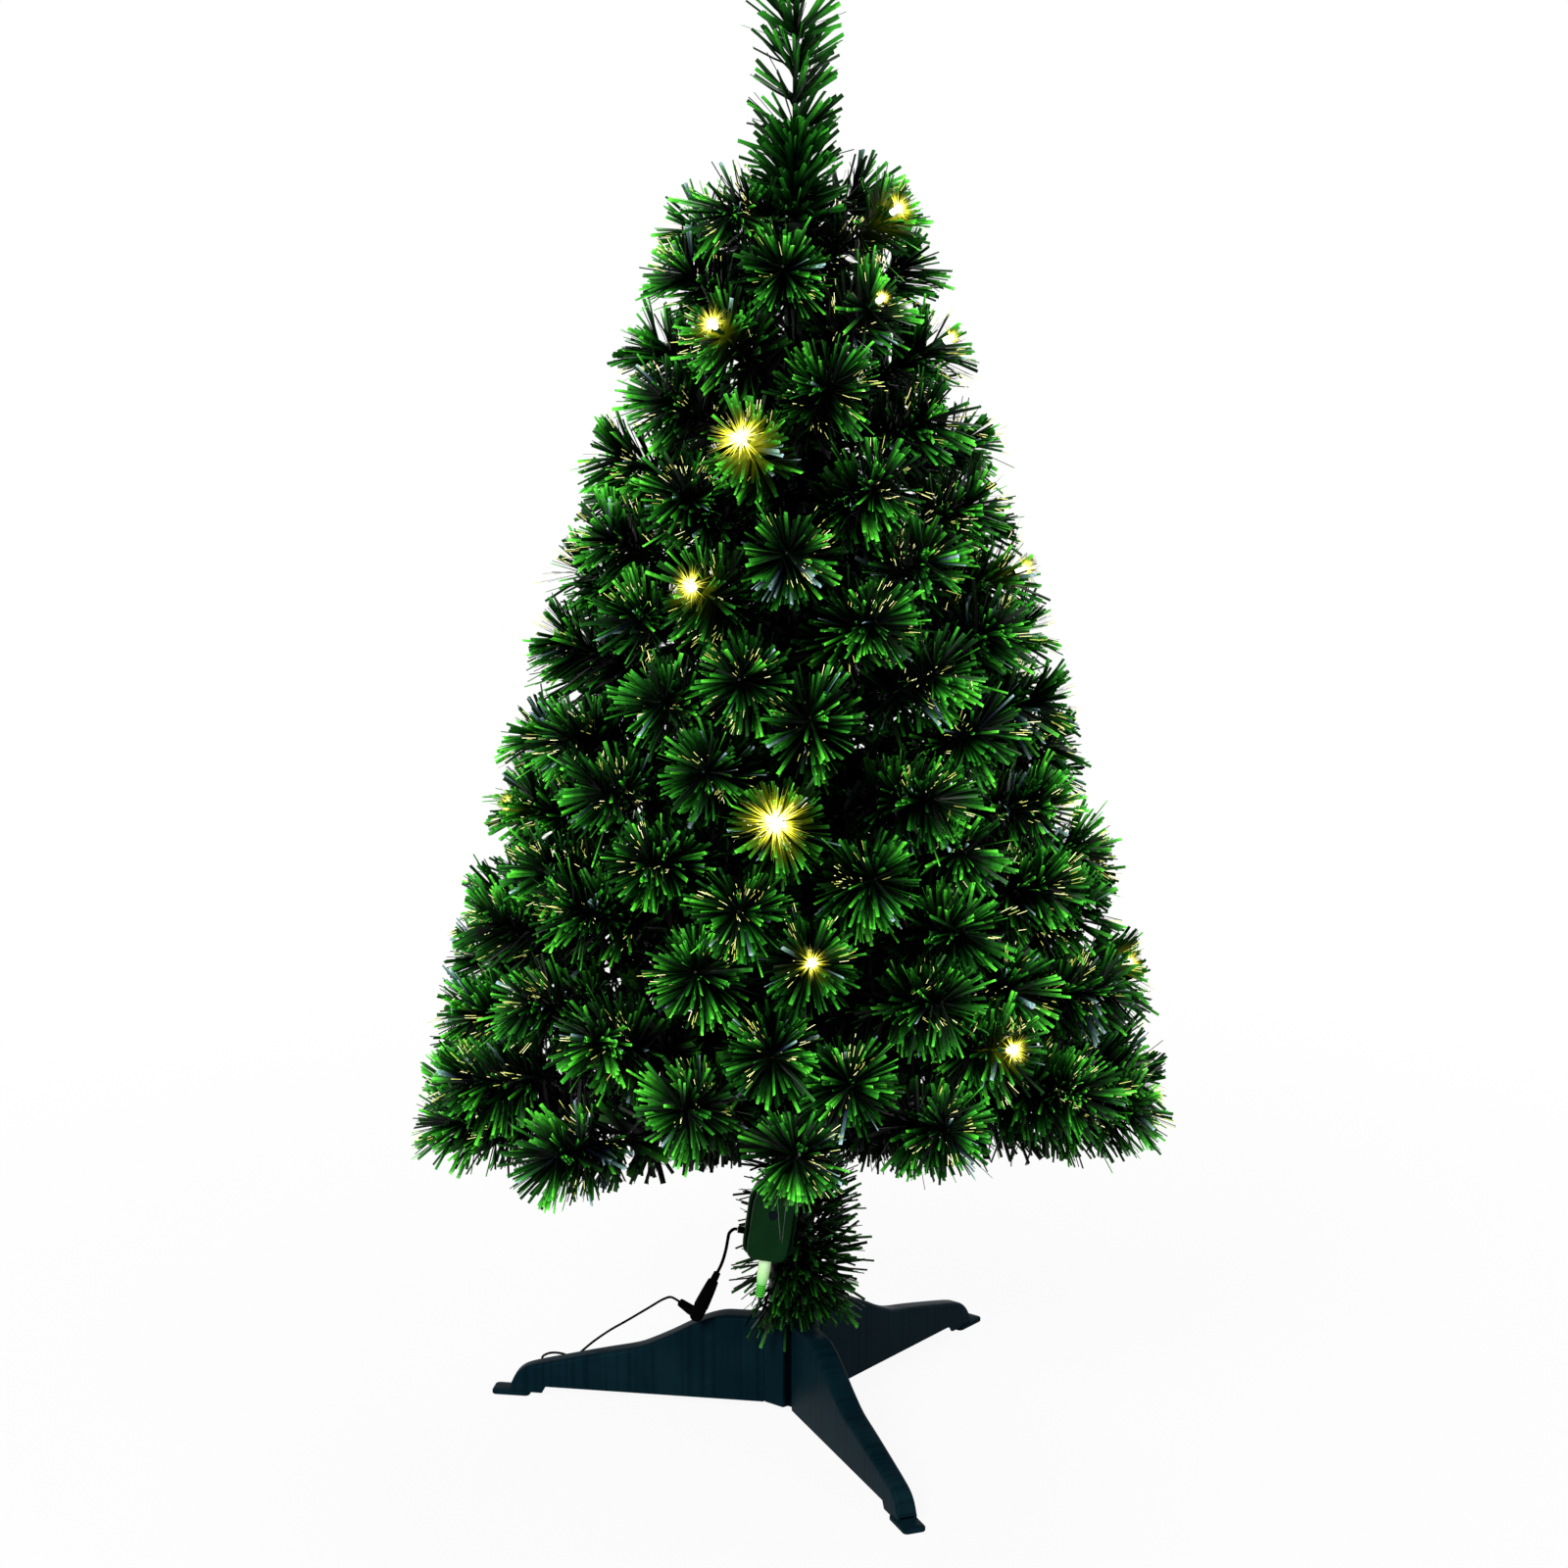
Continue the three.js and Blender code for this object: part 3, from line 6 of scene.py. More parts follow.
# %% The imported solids
import math
import bpy
import numpy as np
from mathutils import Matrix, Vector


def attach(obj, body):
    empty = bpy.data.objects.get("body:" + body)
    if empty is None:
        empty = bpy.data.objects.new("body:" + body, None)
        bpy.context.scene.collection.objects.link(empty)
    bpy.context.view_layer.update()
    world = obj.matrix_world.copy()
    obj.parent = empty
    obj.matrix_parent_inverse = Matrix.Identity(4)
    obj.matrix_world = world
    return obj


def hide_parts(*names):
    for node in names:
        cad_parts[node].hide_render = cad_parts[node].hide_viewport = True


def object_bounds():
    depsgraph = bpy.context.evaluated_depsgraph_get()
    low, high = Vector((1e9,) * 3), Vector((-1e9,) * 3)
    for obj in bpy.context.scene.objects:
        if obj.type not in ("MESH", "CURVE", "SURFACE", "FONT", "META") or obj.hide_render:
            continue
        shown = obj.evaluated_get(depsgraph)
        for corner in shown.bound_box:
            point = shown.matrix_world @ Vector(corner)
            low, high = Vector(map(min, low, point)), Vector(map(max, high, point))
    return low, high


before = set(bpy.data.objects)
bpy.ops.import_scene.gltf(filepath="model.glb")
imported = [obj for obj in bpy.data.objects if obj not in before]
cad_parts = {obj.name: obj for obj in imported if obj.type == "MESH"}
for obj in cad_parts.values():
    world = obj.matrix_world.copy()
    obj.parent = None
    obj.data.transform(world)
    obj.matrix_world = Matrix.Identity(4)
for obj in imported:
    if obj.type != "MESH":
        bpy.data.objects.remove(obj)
cad_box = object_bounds()
MM = 0.001
UP = np.array([0.0, 0.0, 1.0])

# %% [markdown]
# The camera comes first, because the cords are judged by what it sees. A long lens far away keeps
# the tree's sides almost parallel, as in a shop picture, and looks down on the legs a little.

# %% Camera
camera_data = bpy.data.cameras.new("camera")
camera_data.sensor_width = 36.0
camera_data.lens = 79.0
camera = bpy.data.objects.new("camera", camera_data)
camera.location = (-0.008, -2.6, 1.12)
camera.rotation_euler = (math.radians(90 - 13.02), 0.0, 0.0)
bpy.context.collection.objects.link(camera)
bpy.context.scene.camera = camera
bpy.context.scene.view_settings.view_transform = "Standard"
print("camera at", tuple(round(v, 3) for v in camera.location))

# %% [markdown]
# Every new mesh goes through one helper. It takes arrays of points and of faces, so that even a
# tier with thousands of needles is made at once, and it turns a closed shape the right way out.


# %% Meshes from arrays
def piece_from(name, points, quads, tris, smooth=True, sharp=None):
    """A mesh from (n, 3) points and index arrays of quads and triangles.
    Its signed volume is the sum over faces of a . (b x c) / 6; where it is negative, the faces
    are turned round. Edges that turn by more than `sharp` degrees stay hard."""
    points = np.asarray(points, float).reshape(-1, 3)
    quads = np.asarray(quads, int).reshape(-1, 4)
    tris = np.asarray(tris, int).reshape(-1, 3)
    split = np.concatenate([quads[:, [0, 1, 2]], quads[:, [0, 2, 3]], tris])
    a, b, c = points[split[:, 0]], points[split[:, 1]], points[split[:, 2]]
    if (np.cross(a, b) * c).sum() < 0:
        quads, tris = quads[:, ::-1], tris[:, ::-1]
    mesh = bpy.data.meshes.new(name)
    mesh.vertices.add(len(points))
    mesh.vertices.foreach_set("co", points.ravel())
    loops = np.concatenate([quads.ravel(), tris.ravel()])
    mesh.loops.add(len(loops))
    mesh.loops.foreach_set("vertex_index", loops)
    starts = np.concatenate(
        [np.arange(len(quads)) * 4, len(quads) * 4 + np.arange(len(tris)) * 3]
    )
    mesh.polygons.add(len(starts))
    mesh.polygons.foreach_set("loop_start", starts)
    mesh.update(calc_edges=True)
    mesh.polygons.foreach_set("use_smooth", np.full(len(starts), smooth))
    if sharp:
        mesh.set_sharp_from_angle(angle=math.radians(sharp))
    made = bpy.data.objects.new(name, mesh)
    bpy.context.collection.objects.link(made)
    return made


def placed(piece, body, slot, *nodes):
    """Lets a piece ride on a body, in place of the solids named. Its slot argument is not used."""
    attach(piece, body)
    if nodes:
        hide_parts(*nodes)
    return piece


def point_values(piece, **values):
    """Writes numbers for each point of a piece, which its material can read by name."""
    for name, numbers in values.items():
        layer = piece.data.attributes.new(name, "FLOAT", "POINT")
        layer.data.foreach_set("value", np.asarray(numbers, np.float32))


def grid_faces(rows, columns, rows_closed=False):
    """Quads of a grid whose columns close on themselves, and its rows too where that is asked."""
    last = rows if rows_closed else rows - 1
    i, j = np.meshgrid(np.arange(last), np.arange(columns), indexing="ij")
    ahead, right = (i + 1) % rows, (j + 1) % columns
    corners = [i * columns + j, i * columns + right, ahead * columns + right, ahead * columns + j]
    return np.stack([c.ravel() for c in corners], axis=1)


def capped_grid(points):
    """Points, quads and triangles of a tube-like grid (rows, columns, 3) closed at both ends by
    a fan round the mean of its end row."""
    rows, columns = points.shape[:2]
    quads = grid_faces(rows, columns)
    j = np.arange(columns)
    right = (j + 1) % columns
    top = (rows - 1) * columns
    low, high = rows * columns, rows * columns + 1
    first = np.stack([np.full(columns, low), right, j], axis=1)
    final = np.stack([np.full(columns, high), top + j, top + right], axis=1)
    flat = np.concatenate([points.reshape(-1, 3), [points[0].mean(0), points[-1].mean(0)]])
    return flat, quads, np.concatenate([first, final])


def combined(parts):
    """Several (points, quads, triangles) as one, with the indices of each moved along."""
    points, quads, tris, start = [], [], [], 0
    for p, q, t in parts:
        points.append(np.asarray(p, float).reshape(-1, 3))
        quads.append(np.asarray(q, int).reshape(-1, 4) + start)
        tris.append(np.asarray(t, int).reshape(-1, 3) + start)
        start += len(points[-1])
    return np.concatenate(points), np.concatenate(quads), np.concatenate(tris)


def rounded_line(points, radius, steps=4, closed=False):
    """A polyline whose corners are rounded. Each corner b between a and c becomes the parabola
    (1-t)^2 a' + 2 t (1-t) b + t^2 c', where a' and c' lie `radius` from b, or nearer."""
    points = np.asarray(points, float)
    n = len(points)
    corners = range(n) if closed else range(1, n - 1)
    t = np.linspace(0, 1, steps + 1)[:, None]
    made = [] if closed else [points[:1]]
    for i in corners:
        a, b, c = points[i - 1], points[i], points[(i + 1) % n]
        reach_a, reach_c = np.linalg.norm(a - b), np.linalg.norm(c - b)
        start = b + (a - b) / reach_a * min(radius, 0.48 * reach_a)
        end = b + (c - b) / reach_c * min(radius, 0.48 * reach_c)
        made.append((1 - t) ** 2 * start + 2 * t * (1 - t) * b + t**2 * end)
    if not closed:
        made.append(points[-1:])
    return np.concatenate(made)


def unit(v):
    v = np.asarray(v, float)
    return v / np.linalg.norm(v, axis=-1, keepdims=True)


def across_of(direction):
    """Two directions square to each given one: a = z x d, and b = d x a."""
    direction = unit(direction)
    a = np.cross(UP, direction)
    flat = np.linalg.norm(a, axis=-1, keepdims=True) < 1e-6
    a = unit(np.where(flat, [1.0, 0.0, 0.0], a))
    return a, np.cross(direction, a)


def outwards(angle):
    """Level directions (cos, sin, 0)."""
    return np.stack([np.cos(angle), np.sin(angle), 0 * angle], axis=1)


def upright(z):
    """Points (0, 0, z)."""
    return np.stack([0 * z, 0 * z, z], axis=1)


def turned_by(degrees, points):
    """Points turned about z: (x cos - y sin, x sin + y cos), and z where they have one."""
    c, s = math.cos(math.radians(degrees)), math.sin(math.radians(degrees))
    axes = points.shape[1]
    return points @ np.array([[c, s, 0], [-s, c, 0], [0, 0, 1]])[:axes, :axes]


def turned_grid(profile, start, direction, columns=40):
    """A profile of (radius, distance) carried round an axis:
    p(i, angle) = start + distance_i * d + radius_i * (cos(angle) * a + sin(angle) * b)."""
    profile = np.asarray(profile, float)
    a, b = across_of(direction)
    angle = np.linspace(0, 2 * np.pi, columns, endpoint=False)
    out = np.cos(angle)[:, None] * a + np.sin(angle)[:, None] * b
    line = np.asarray(start, float) + profile[:, 1:2] * unit(direction)
    return line[:, None, :] + profile[:, 0, None, None] * out[None]


# %% [markdown]
# A cord is one smooth curve through the points of its route. A Catmull-Rom curve passes through
# each point without corners, and is resampled finely, so that its length can be measured.


# %% Cords as curves
def smooth_route(points, step=1.5 * MM):
    """A centripetal Catmull-Rom curve through the points, resampled at an even step."""
    p = np.asarray(points, float)
    p = np.concatenate([[2 * p[0] - p[1]], p, [2 * p[-1] - p[-2]]])
    knot = np.concatenate([[0], np.cumsum(np.sqrt(np.linalg.norm(np.diff(p, axis=0), axis=1)))])
    made = []
    for i in range(1, len(p) - 2):
        t = np.linspace(knot[i], knot[i + 1], 24, endpoint=False)[:, None]
        k0, k1, k2, k3 = knot[i - 1 : i + 3]
        a1 = ((k1 - t) * p[i - 1] + (t - k0) * p[i]) / (k1 - k0)
        a2 = ((k2 - t) * p[i] + (t - k1) * p[i + 1]) / (k2 - k1)
        a3 = ((k3 - t) * p[i + 1] + (t - k2) * p[i + 2]) / (k3 - k2)
        b1 = ((k2 - t) * a1 + (t - k0) * a2) / (k2 - k0)
        b2 = ((k3 - t) * a2 + (t - k1) * a3) / (k3 - k1)
        made.append(((k2 - t) * b1 + (t - k1) * b2) / (k2 - k1))
    made = np.concatenate(made + [p[-2:-1]])
    run = np.concatenate([[0], np.cumsum(np.linalg.norm(np.diff(made, axis=0), axis=1))])
    even = np.linspace(0, run[-1], int(run[-1] / step) + 2)
    return np.stack([np.interp(even, run, made[:, k]) for k in range(3)], axis=1)


def cord_piece(name, points, diameter):
    """A round cord along the points, as one open spline, and its length."""
    curve = bpy.data.curves.new(name, "CURVE")
    curve.dimensions = "3D"
    spline = curve.splines.new("POLY")
    spline.points.add(len(points) - 1)
    spline.points.foreach_set("co", np.c_[points, np.ones(len(points))].ravel())
    curve.bevel_depth = diameter / 2
    curve.bevel_resolution = 3
    curve.use_fill_caps = True
    made = bpy.data.objects.new(name, curve)
    bpy.context.collection.objects.link(made)
    length = float(np.linalg.norm(np.diff(points, axis=0), axis=1).sum())
    print(name, "length", round(length, 3), "m")
    return made, length


# %% [markdown]
# The light box hangs on the trunk with a small tilt, so its pieces are laid out in its own frame
# and then turned. Its connectors share one line below it. These places repeat the solids' ones.

# %% The light box's frame and the connectors' line
BOX_FOOT = np.array([-22.4, -25.0, 139.6]) * MM
BOX_TILT = math.radians(8.5)
BOX_X = np.array([math.cos(BOX_TILT), 0.0, -math.sin(BOX_TILT)])
BOX_Y = np.array([0.0, 1.0, 0.0])
BOX_Z = np.array([math.sin(BOX_TILT), 0.0, math.cos(BOX_TILT)])


def in_box_frame(points):
    """Points given in millimetres in the box's frame, as metres in the model's frame."""
    points = np.asarray(points, float) * MM
    return BOX_FOOT + points[..., :1] * BOX_X + points[..., 1:2] * BOX_Y + points[..., 2:] * BOX_Z


def box_coordinates(points):
    """The other way round: x, y and z in the box's frame, in millimetres."""
    p = points - BOX_FOOT
    return p @ BOX_X / MM, p @ BOX_Y / MM, p @ BOX_Z / MM


SUPPLY_START = np.array([-61.1, -17.0, 123.2]) * MM
SUPPLY_DOWN = unit([-0.403, 0.123, -0.907])
ELBOW = SUPPLY_START + (33.3 + 7.7) * MM * SUPPLY_DOWN
ARM = unit([-0.72, 0.64, 0.27])
print("elbow of the power plug, mm:", np.round(ELBOW / MM, 1))

# %% The three cords
SUPPLY_WIDE, STRING_WIDE, ADAPTER_WIDE = 2.6 * MM, 1.8 * MM, 2.0 * MM
supply_route = np.concatenate([
    in_box_frame([[-25.5, 4.1, 18], [-27.8, 4.1, 18]]),
    np.array([
        [-51.2, -21.7, 158.6], [-52.6, -22.2, 153], [-53.6, -21.9, 147], [-55.4, -20.8, 139],
    ]) * MM,
    [SUPPLY_START - 7.8 * MM * SUPPLY_DOWN, SUPPLY_START],
])
supply_cord, supply_length = cord_piece("supply_cord", smooth_route(supply_route), SUPPLY_WIDE)

string_route = np.concatenate([
    in_box_frame([[0, 0, -34.0]]),
    np.array([
        [-28, -24.5, 101], [-27.5, -22, 97], [-27, -18, 97], [-26.5, -13, 102], [-26, -8, 110],
        [-26, -4, 120], [-25.5, -1, 134], [-23.5, 2, 160], [-21.5, 3, 180], [-19.8, 4, 200],
        [-16, 4, 214], [-13.6, 4, 225.7],
    ]) * MM,
])
string_cord, string_length = cord_piece("string_cord", smooth_route(string_route), STRING_WIDE)

COIL_CENTRE, COIL_TURNS, COIL_LAYERS = np.array([-132.0, 74.0]), 12, 4
COIL_INNER, COIL_PITCH, COIL_LOW = 9.6, 2.7, 2.4
COIL_START = math.radians(110)


def coil_points(steps_in_turn=40):
    """The adapter lead's coil: a spiral in and out at a steady rate, clockwise, in four layers.
    It climbs one layer in the half turn where it changes between inwards and outwards."""
    turn = np.linspace(0, COIL_TURNS, COIL_TURNS * steps_in_turn + 1)
    in_layer = COIL_TURNS / COIL_LAYERS
    layer = np.minimum(np.floor(turn / in_layer), COIL_LAYERS - 1)
    within = turn - layer * in_layer
    outward = np.where(layer % 2 == 1, within, in_layer - within)
    radius = COIL_INNER + COIL_PITCH * outward
    change = np.arange(1, COIL_LAYERS) * in_layer
    climbed = np.clip(2 * (turn[:, None] - change) + 0.5, 0, 1).sum(1)
    angle = COIL_START - 2 * np.pi * turn
    x, y = COIL_CENTRE[0] + radius * np.cos(angle), COIL_CENTRE[1] + radius * np.sin(angle)
    return np.stack([x, y, COIL_LOW + COIL_PITCH * climbed], axis=1)


coil = coil_points()
run = np.array([math.sin(COIL_START), -math.cos(COIL_START), 0.0])
before_coil = smooth_route(np.concatenate([
    [ELBOW / MM + 20.0 * ARM, ELBOW / MM + 24 * ARM],
    [
        [-99.3, 6.6, 93.2], [-104.5, 9.6, 90.6], [-119, 18, 78.6], [-135.5, 27, 65],
        [-150, 34.5, 53.5], [-164, 41, 41], [-176, 48, 28], [-187, 58, 15], [-197, 70, 5.5],
        [-205, 83, 1.8], [-210, 96, 1.3], [-210, 107, 1.3], [-204, 113.5, 1.3],
        [-196, 112.5, 1.3], [-187, 105, 1.3], [-176, 96.5, 1.3], [-163, 89.5, 1.4],
        [-151, 87, 1.9],
    ],
    [coil[0] - 6 * run, coil[0] - 2 * run],
]), 1.5)
after_coil = smooth_route(np.concatenate([
    [coil[-1] + 2 * run, coil[-1] + 6 * run],
    [
        [-126, 94, 10.7], [-118.5, 91.5, 12], [-113, 84, 14], [-109.5, 75.5, 15.6],
        [-106, 68.3, 16], [-101.9, 68, 16],
    ],
]), 1.5)
adapter_route = np.concatenate([before_coil, coil, after_coil]) * MM
adapter_cord, adapter_length = cord_piece("adapter_cord", adapter_route, ADAPTER_WIDE)

# %% [markdown]
# A wired branch is a bottle brush: thin strips of film caught between two twisted wires. Each
# needle here is a strip with a crease along it, three points round and three along, so it can
# bend and catch the light on two faces, and still has only a few faces.

# %% One mesh for thousands of needles
NEEDLE_CREASE = 0.5 * MM
NEEDLE_ROWS, NEEDLE_ROUND = 3, 3
NEEDLE_POINTS = NEEDLE_ROWS * NEEDLE_ROUND


def strips(foot, aim, length, width, turn, bend=None):
    """Needles as creased strips. The centreline is foot + s * length * aim + bend * s^2, for
    s = 0, 1/2, 1. The three corners round it are (-w/2, 0), (w/2, 0) and (0, crease), in two
    directions square to aim that are turned by `turn`."""
    n = len(foot)
    bend = 0 * aim if bend is None else bend
    a, b = across_of(aim)
    side = np.cos(turn)[:, None] * a + np.sin(turn)[:, None] * b
    lift = -np.sin(turn)[:, None] * a + np.cos(turn)[:, None] * b
    s = np.linspace(0, 1, NEEDLE_ROWS)
    centre = foot[:, None, :] + s[None, :, None] * (length[:, None, None] * aim[:, None, :])
    centre = centre + (s**2)[None, :, None] * bend[:, None, :]
    narrow = np.array([0.7, 1.0, 0.94])[None, :] * width[:, None]
    corner = np.array([[-0.5, 0.0], [0.5, 0.0], [0.0, 1.0]])
    out_side = narrow[:, :, None] * corner[None, None, :, 0]
    out_lift = NEEDLE_CREASE * corner[None, None, :, 1] * np.ones_like(narrow)[:, :, None]
    points = (
        centre[:, :, None, :]
        + out_side[..., None] * side[:, None, None, :]
        + out_lift[..., None] * lift[:, None, None, :]
    )
    base = (np.arange(n) * NEEDLE_POINTS)[:, None, None]
    ring = np.array([
        [i * 3 + j, i * 3 + (j + 1) % 3, i * 3 + 3 + (j + 1) % 3, i * 3 + 3 + j]
        for i in range(NEEDLE_ROWS - 1) for j in range(NEEDLE_ROUND)
    ])
    quads = (base + ring[None]).reshape(-1, 4)
    tris = (base + np.array([[0, 2, 1], [6, 7, 8]])[None]).reshape(-1, 3)
    return points.reshape(-1, 3), quads, tris


def spikes(foot, tip, width, end=1.0):
    """Straight fibres: a triangle of the given width carried from foot to tip, where it is `end`
    times as wide."""
    n = len(foot)
    a, b = across_of(tip - foot)
    angle = np.array([0.0, 2.0, 4.0]) * np.pi / 3
    turned = np.cos(angle)[None, :, None] * a[:, None] + np.sin(angle)[None, :, None] * b[:, None]
    ring = width / 2 * turned
    points = np.stack([foot[:, None] + ring, tip[:, None] + end * ring], axis=1)
    base = (np.arange(n) * 6)[:, None, None]
    quads = (base + np.array([[0, 1, 4, 3], [1, 2, 5, 4], [2, 0, 3, 5]])[None]).reshape(-1, 4)
    tris = (base + np.array([[0, 2, 1], [3, 4, 5]])[None]).reshape(-1, 3)
    return points.reshape(-1, 3), quads, tris


# %% [markdown]
# The branches leave the trunk in opposite pairs. Each pair is half a golden angle further round
# than the one below, so that no branch hides the next, and the pairs crowd together where the
# cone is wide. The same plan as in the solids places the tips on the tree's outline.

# %% The plan of the branches
TIERS, PAIRS_IN_TIER = 12, 6
IN_TIER = 2 * PAIRS_IN_TIER
PAIRS = TIERS * PAIRS_IN_TIER
OUTLINE_TOP, LOWEST, HIGHEST, OUTER = 1.150, 0.240, 0.985, 0.305
SPAN, OUTLINE_POWER = OUTLINE_TOP - LOWEST, 0.75
TIP_SHORT = 0.010
TRUNK_LOW, TRUNK_HIGH, UPPER_TRUNK_TIER = 0.0125, 0.008, 8
BULB_BRANCHES = [25, 37, 45, 68, 70, 104, 107, 122, 131, 132, 134, 141]


def branch_plan():
    """Roots and tips of all branches.
    A tip's radius is 0.305 * ((1.15 - z) / 0.91) ** 0.75, and its height z puts an equal share of
    the cone's surface below each pair. The slope grows from 2 to 35 degrees on the way up, and
    branches towards or away from the viewer are bent up at the skirt."""
    share = np.arange(PAIRS) / (PAIRS - 1)
    area_power = 1 + OUTLINE_POWER
    top_share = (OUTLINE_TOP - HIGHEST) / SPAN
    z = OUTLINE_TOP - SPAN * (1 - share * (1 - top_share**area_power)) ** (1 / area_power)
    outline = OUTER * ((OUTLINE_TOP - z) / SPAN) ** OUTLINE_POWER
    slope = np.radians(2 + 33 * share**1.5)
    root_z = z - (outline - TIP_SHORT - TRUNK_LOW) * np.tan(slope)
    golden = math.pi * (3 - math.sqrt(5))
    azimuth = math.radians(20) + np.arange(PAIRS) * golden / 2
    azimuth = np.stack([azimuth, azimuth + math.pi], axis=1).ravel()
    z, outline, root_z = np.repeat(z, 2), np.repeat(outline, 2), np.repeat(root_z, 2)
    first_upper = UPPER_TRUNK_TIER * IN_TIER
    joint = (root_z[first_upper - 1] + root_z[first_upper]) / 2
    trunk = np.where(root_z < joint, TRUNK_LOW, TRUNK_HIGH)
    lift = 0.066 * np.abs(np.sin(azimuth)) ** 0.7 * np.clip(1 - (z - LOWEST) / 0.46, 0, 1)
    out = outwards(azimuth)
    root = out * (trunk + 0.0017)[:, None] + upright(root_z)
    return root, out * (outline - TIP_SHORT)[:, None] + upright(z + lift)


def outline_radius(z):
    return OUTER * (np.clip(OUTLINE_TOP - z, 0.01, 1) / SPAN) ** OUTLINE_POWER


branch_root, branch_tip = branch_plan()
branch_length = np.linalg.norm(branch_tip - branch_root, axis=1)
print("branches:", len(branch_root), "from", branch_length.min().round(3),
      "to", branch_length.max().round(3))

# %% [markdown]
# The film is cut square and leans towards the tip. It was wound in as cut bands, so most needles
# stand in bunches that share a place, a direction and a tone, with loose ones between. Over the
# last centimetres the lean grows, and all needles end on one flat face, so the branch looks like a
# brush from the side and like a rosette from its end. People bend the wires when they open a tree,
# so each curves a little, and a few are bent one by one to where the picture has them.

# %% Needles and wires of the tiers
random = np.random.default_rng(2412)
NEEDLE_REACH = 43 * MM
FACE_PAST_TIP = 10 * MM
BRUSH_DEPTH = 0.085
INNER_PER_METRE, OUTER_PER_METRE = 850, 2450
BUNCH, BUNCHED_SHARE = 7, 0.7
ASKEW_SHARE, LONG_SHARE, SHEEN_SHARE = 0.03, 0.04, 0.016
LONG_CUT_HIGHLIGHT_TONE, HIGHEST_TONE, SHEEN_TONE = 0.9, 0.94, 1.0
TRUNK_NEEDLES, FRINGE_NEEDLES, FRINGED_TIERS = 300, 110, 3
SKIRT_LOW = 0.226
PAST_CARTON = 4 * MM
BENT_BY_HAND = {
    1: (0, 7), 3: (8, 3), 5: (0, 7), 8: (-8, 0), 13: (0, 4), 15: (0, -8), 18: (0, 2),
    139: (0, -14), 140: (4, -22), 142: (12, -32), 143: (0, -20),
}


def any_turn(n):
    return random.uniform(0, 2 * np.pi, n)


def chance(n, share):
    return random.uniform(0, 1, n) < share


def wire_curve(index):
    """A branch's wire: p(s) = root + s * axis + (s / L)^2 * offset. The offset is square to the
    axis and zero where a bulb sits on the branch's end. Else it is (side, up) in millimetres from
    the list of bent ones, or random and flatter than wide."""
    root, length = branch_root[index], branch_length[index]
    axis = unit(branch_tip[index] - root)
    a, b = across_of(axis)
    side, up = length * random.uniform(-0.13, 0.13), length * random.uniform(-0.08, 0.08)
    if index in BENT_BY_HAND:
        side, up = np.array(BENT_BY_HAND[index]) * MM
    offset = (side * a + up * b) * (index not in BULB_BRANCHES)

    def at(s):
        return root + s[:, None] * axis + (s[:, None] / length) ** 2 * offset

    def along(s):
        return unit(axis + 2 * s[:, None] / length**2 * offset)

    return at, along, length


def brush_needles(at, along, length):
    """Feet, aims, lengths and widths of a branch's needles, the wire's direction at each, and a
    tone. Most needles take their place, angles and tone from their bunch, with a small spread.
    The angle off the wire is 63 degrees, and falls to 41 at the tip. No needle passes the flat
    face beyond the branch's end, apart from one in twenty-five that was cut long. A few stand
    askew, and the needles deep in the tree are wider, since they close the view there."""
    thick = min(length, BRUSH_DEPTH)
    inner, outer = int(length * INNER_PER_METRE), int(thick * OUTER_PER_METRE)
    n = inner + outer
    s = np.concatenate([
        random.uniform(0.05, 1.0, inner) * (length - 18 * MM),
        length - 15 * MM - random.uniform(0, 1, outer) ** 1.2 * (thick - 20 * MM),
    ])
    round_wire, spread = any_turn(n), random.normal(0, 12, n)
    phase = any_turn(2)
    sector = 0.6 * np.cos(round_wire - phase[0]) + 0.4 * np.cos(2 * round_wire - phase[1])
    tone = 0.45 + 0.26 * sector + random.normal(0, 0.22, n)
    heads = random.integers(0, n, n // BUNCH)[random.integers(0, n // BUNCH, n)]
    bunched = chance(n, BUNCHED_SHARE)
    s = np.where(bunched, s[heads] + random.normal(0, 2.0 * MM, n), s)
    s = np.clip(s, 4 * MM, length - 14 * MM)
    round_wire = np.where(bunched, round_wire[heads] + random.normal(0, 0.13, n), round_wire)
    spread = np.where(bunched, spread[heads] + random.normal(0, 4.5, n), spread)
    spread += chance(n, ASKEW_SHARE) * random.uniform(-40, 30, n)
    own_tone = np.where(bunched, tone[heads] + random.normal(0, 0.19, n), tone)
    long_cut = chance(n, LONG_SHARE)
    # Painted highlight: the long-cut needles take a bright tone.
    tone = np.where(long_cut, LONG_CUT_HIGHLIGHT_TONE, np.clip(own_tone, 0, HIGHEST_TONE))
    # Painted reflection: a few needles, and their bunches, are coloured grey-blue as if the film
    # shone.
    painted_sheen = chance(n, SHEEN_SHARE)
    tone = np.where(painted_sheen | (bunched & painted_sheen[heads]), SHEEN_TONE, tone)
    axis = along(s)
    a, b = across_of(axis)
    to_face = length + FACE_PAST_TIP + 5 * MM * long_cut - s
    off_wire = 63 - 22 * np.exp(-((to_face / (44 * MM)) ** 3))
    off_wire = np.radians(np.clip(off_wire + spread, 12, 84))
    out = np.cos(round_wire)[:, None] * a + np.sin(round_wire)[:, None] * b
    aim = np.cos(off_wire)[:, None] * axis + np.sin(off_wire)[:, None] * out
    grown = np.clip(0.5 + 0.8 * s / length, 0, 1)
    reach = NEEDLE_REACH * grown * random.uniform(0.8, 1.06, n) * (1 + 0.2 * long_cut)
    face = to_face * random.uniform(0.92, 1.06, n)
    reach = np.minimum(reach, face / np.cos(off_wire))
    width = random.uniform(1.6, 3.2, n) * np.where(s < length - thick, 1.8, 1.0) * MM
    return at(s) + 0.5 * MM * out, aim, reach, width, axis, tone


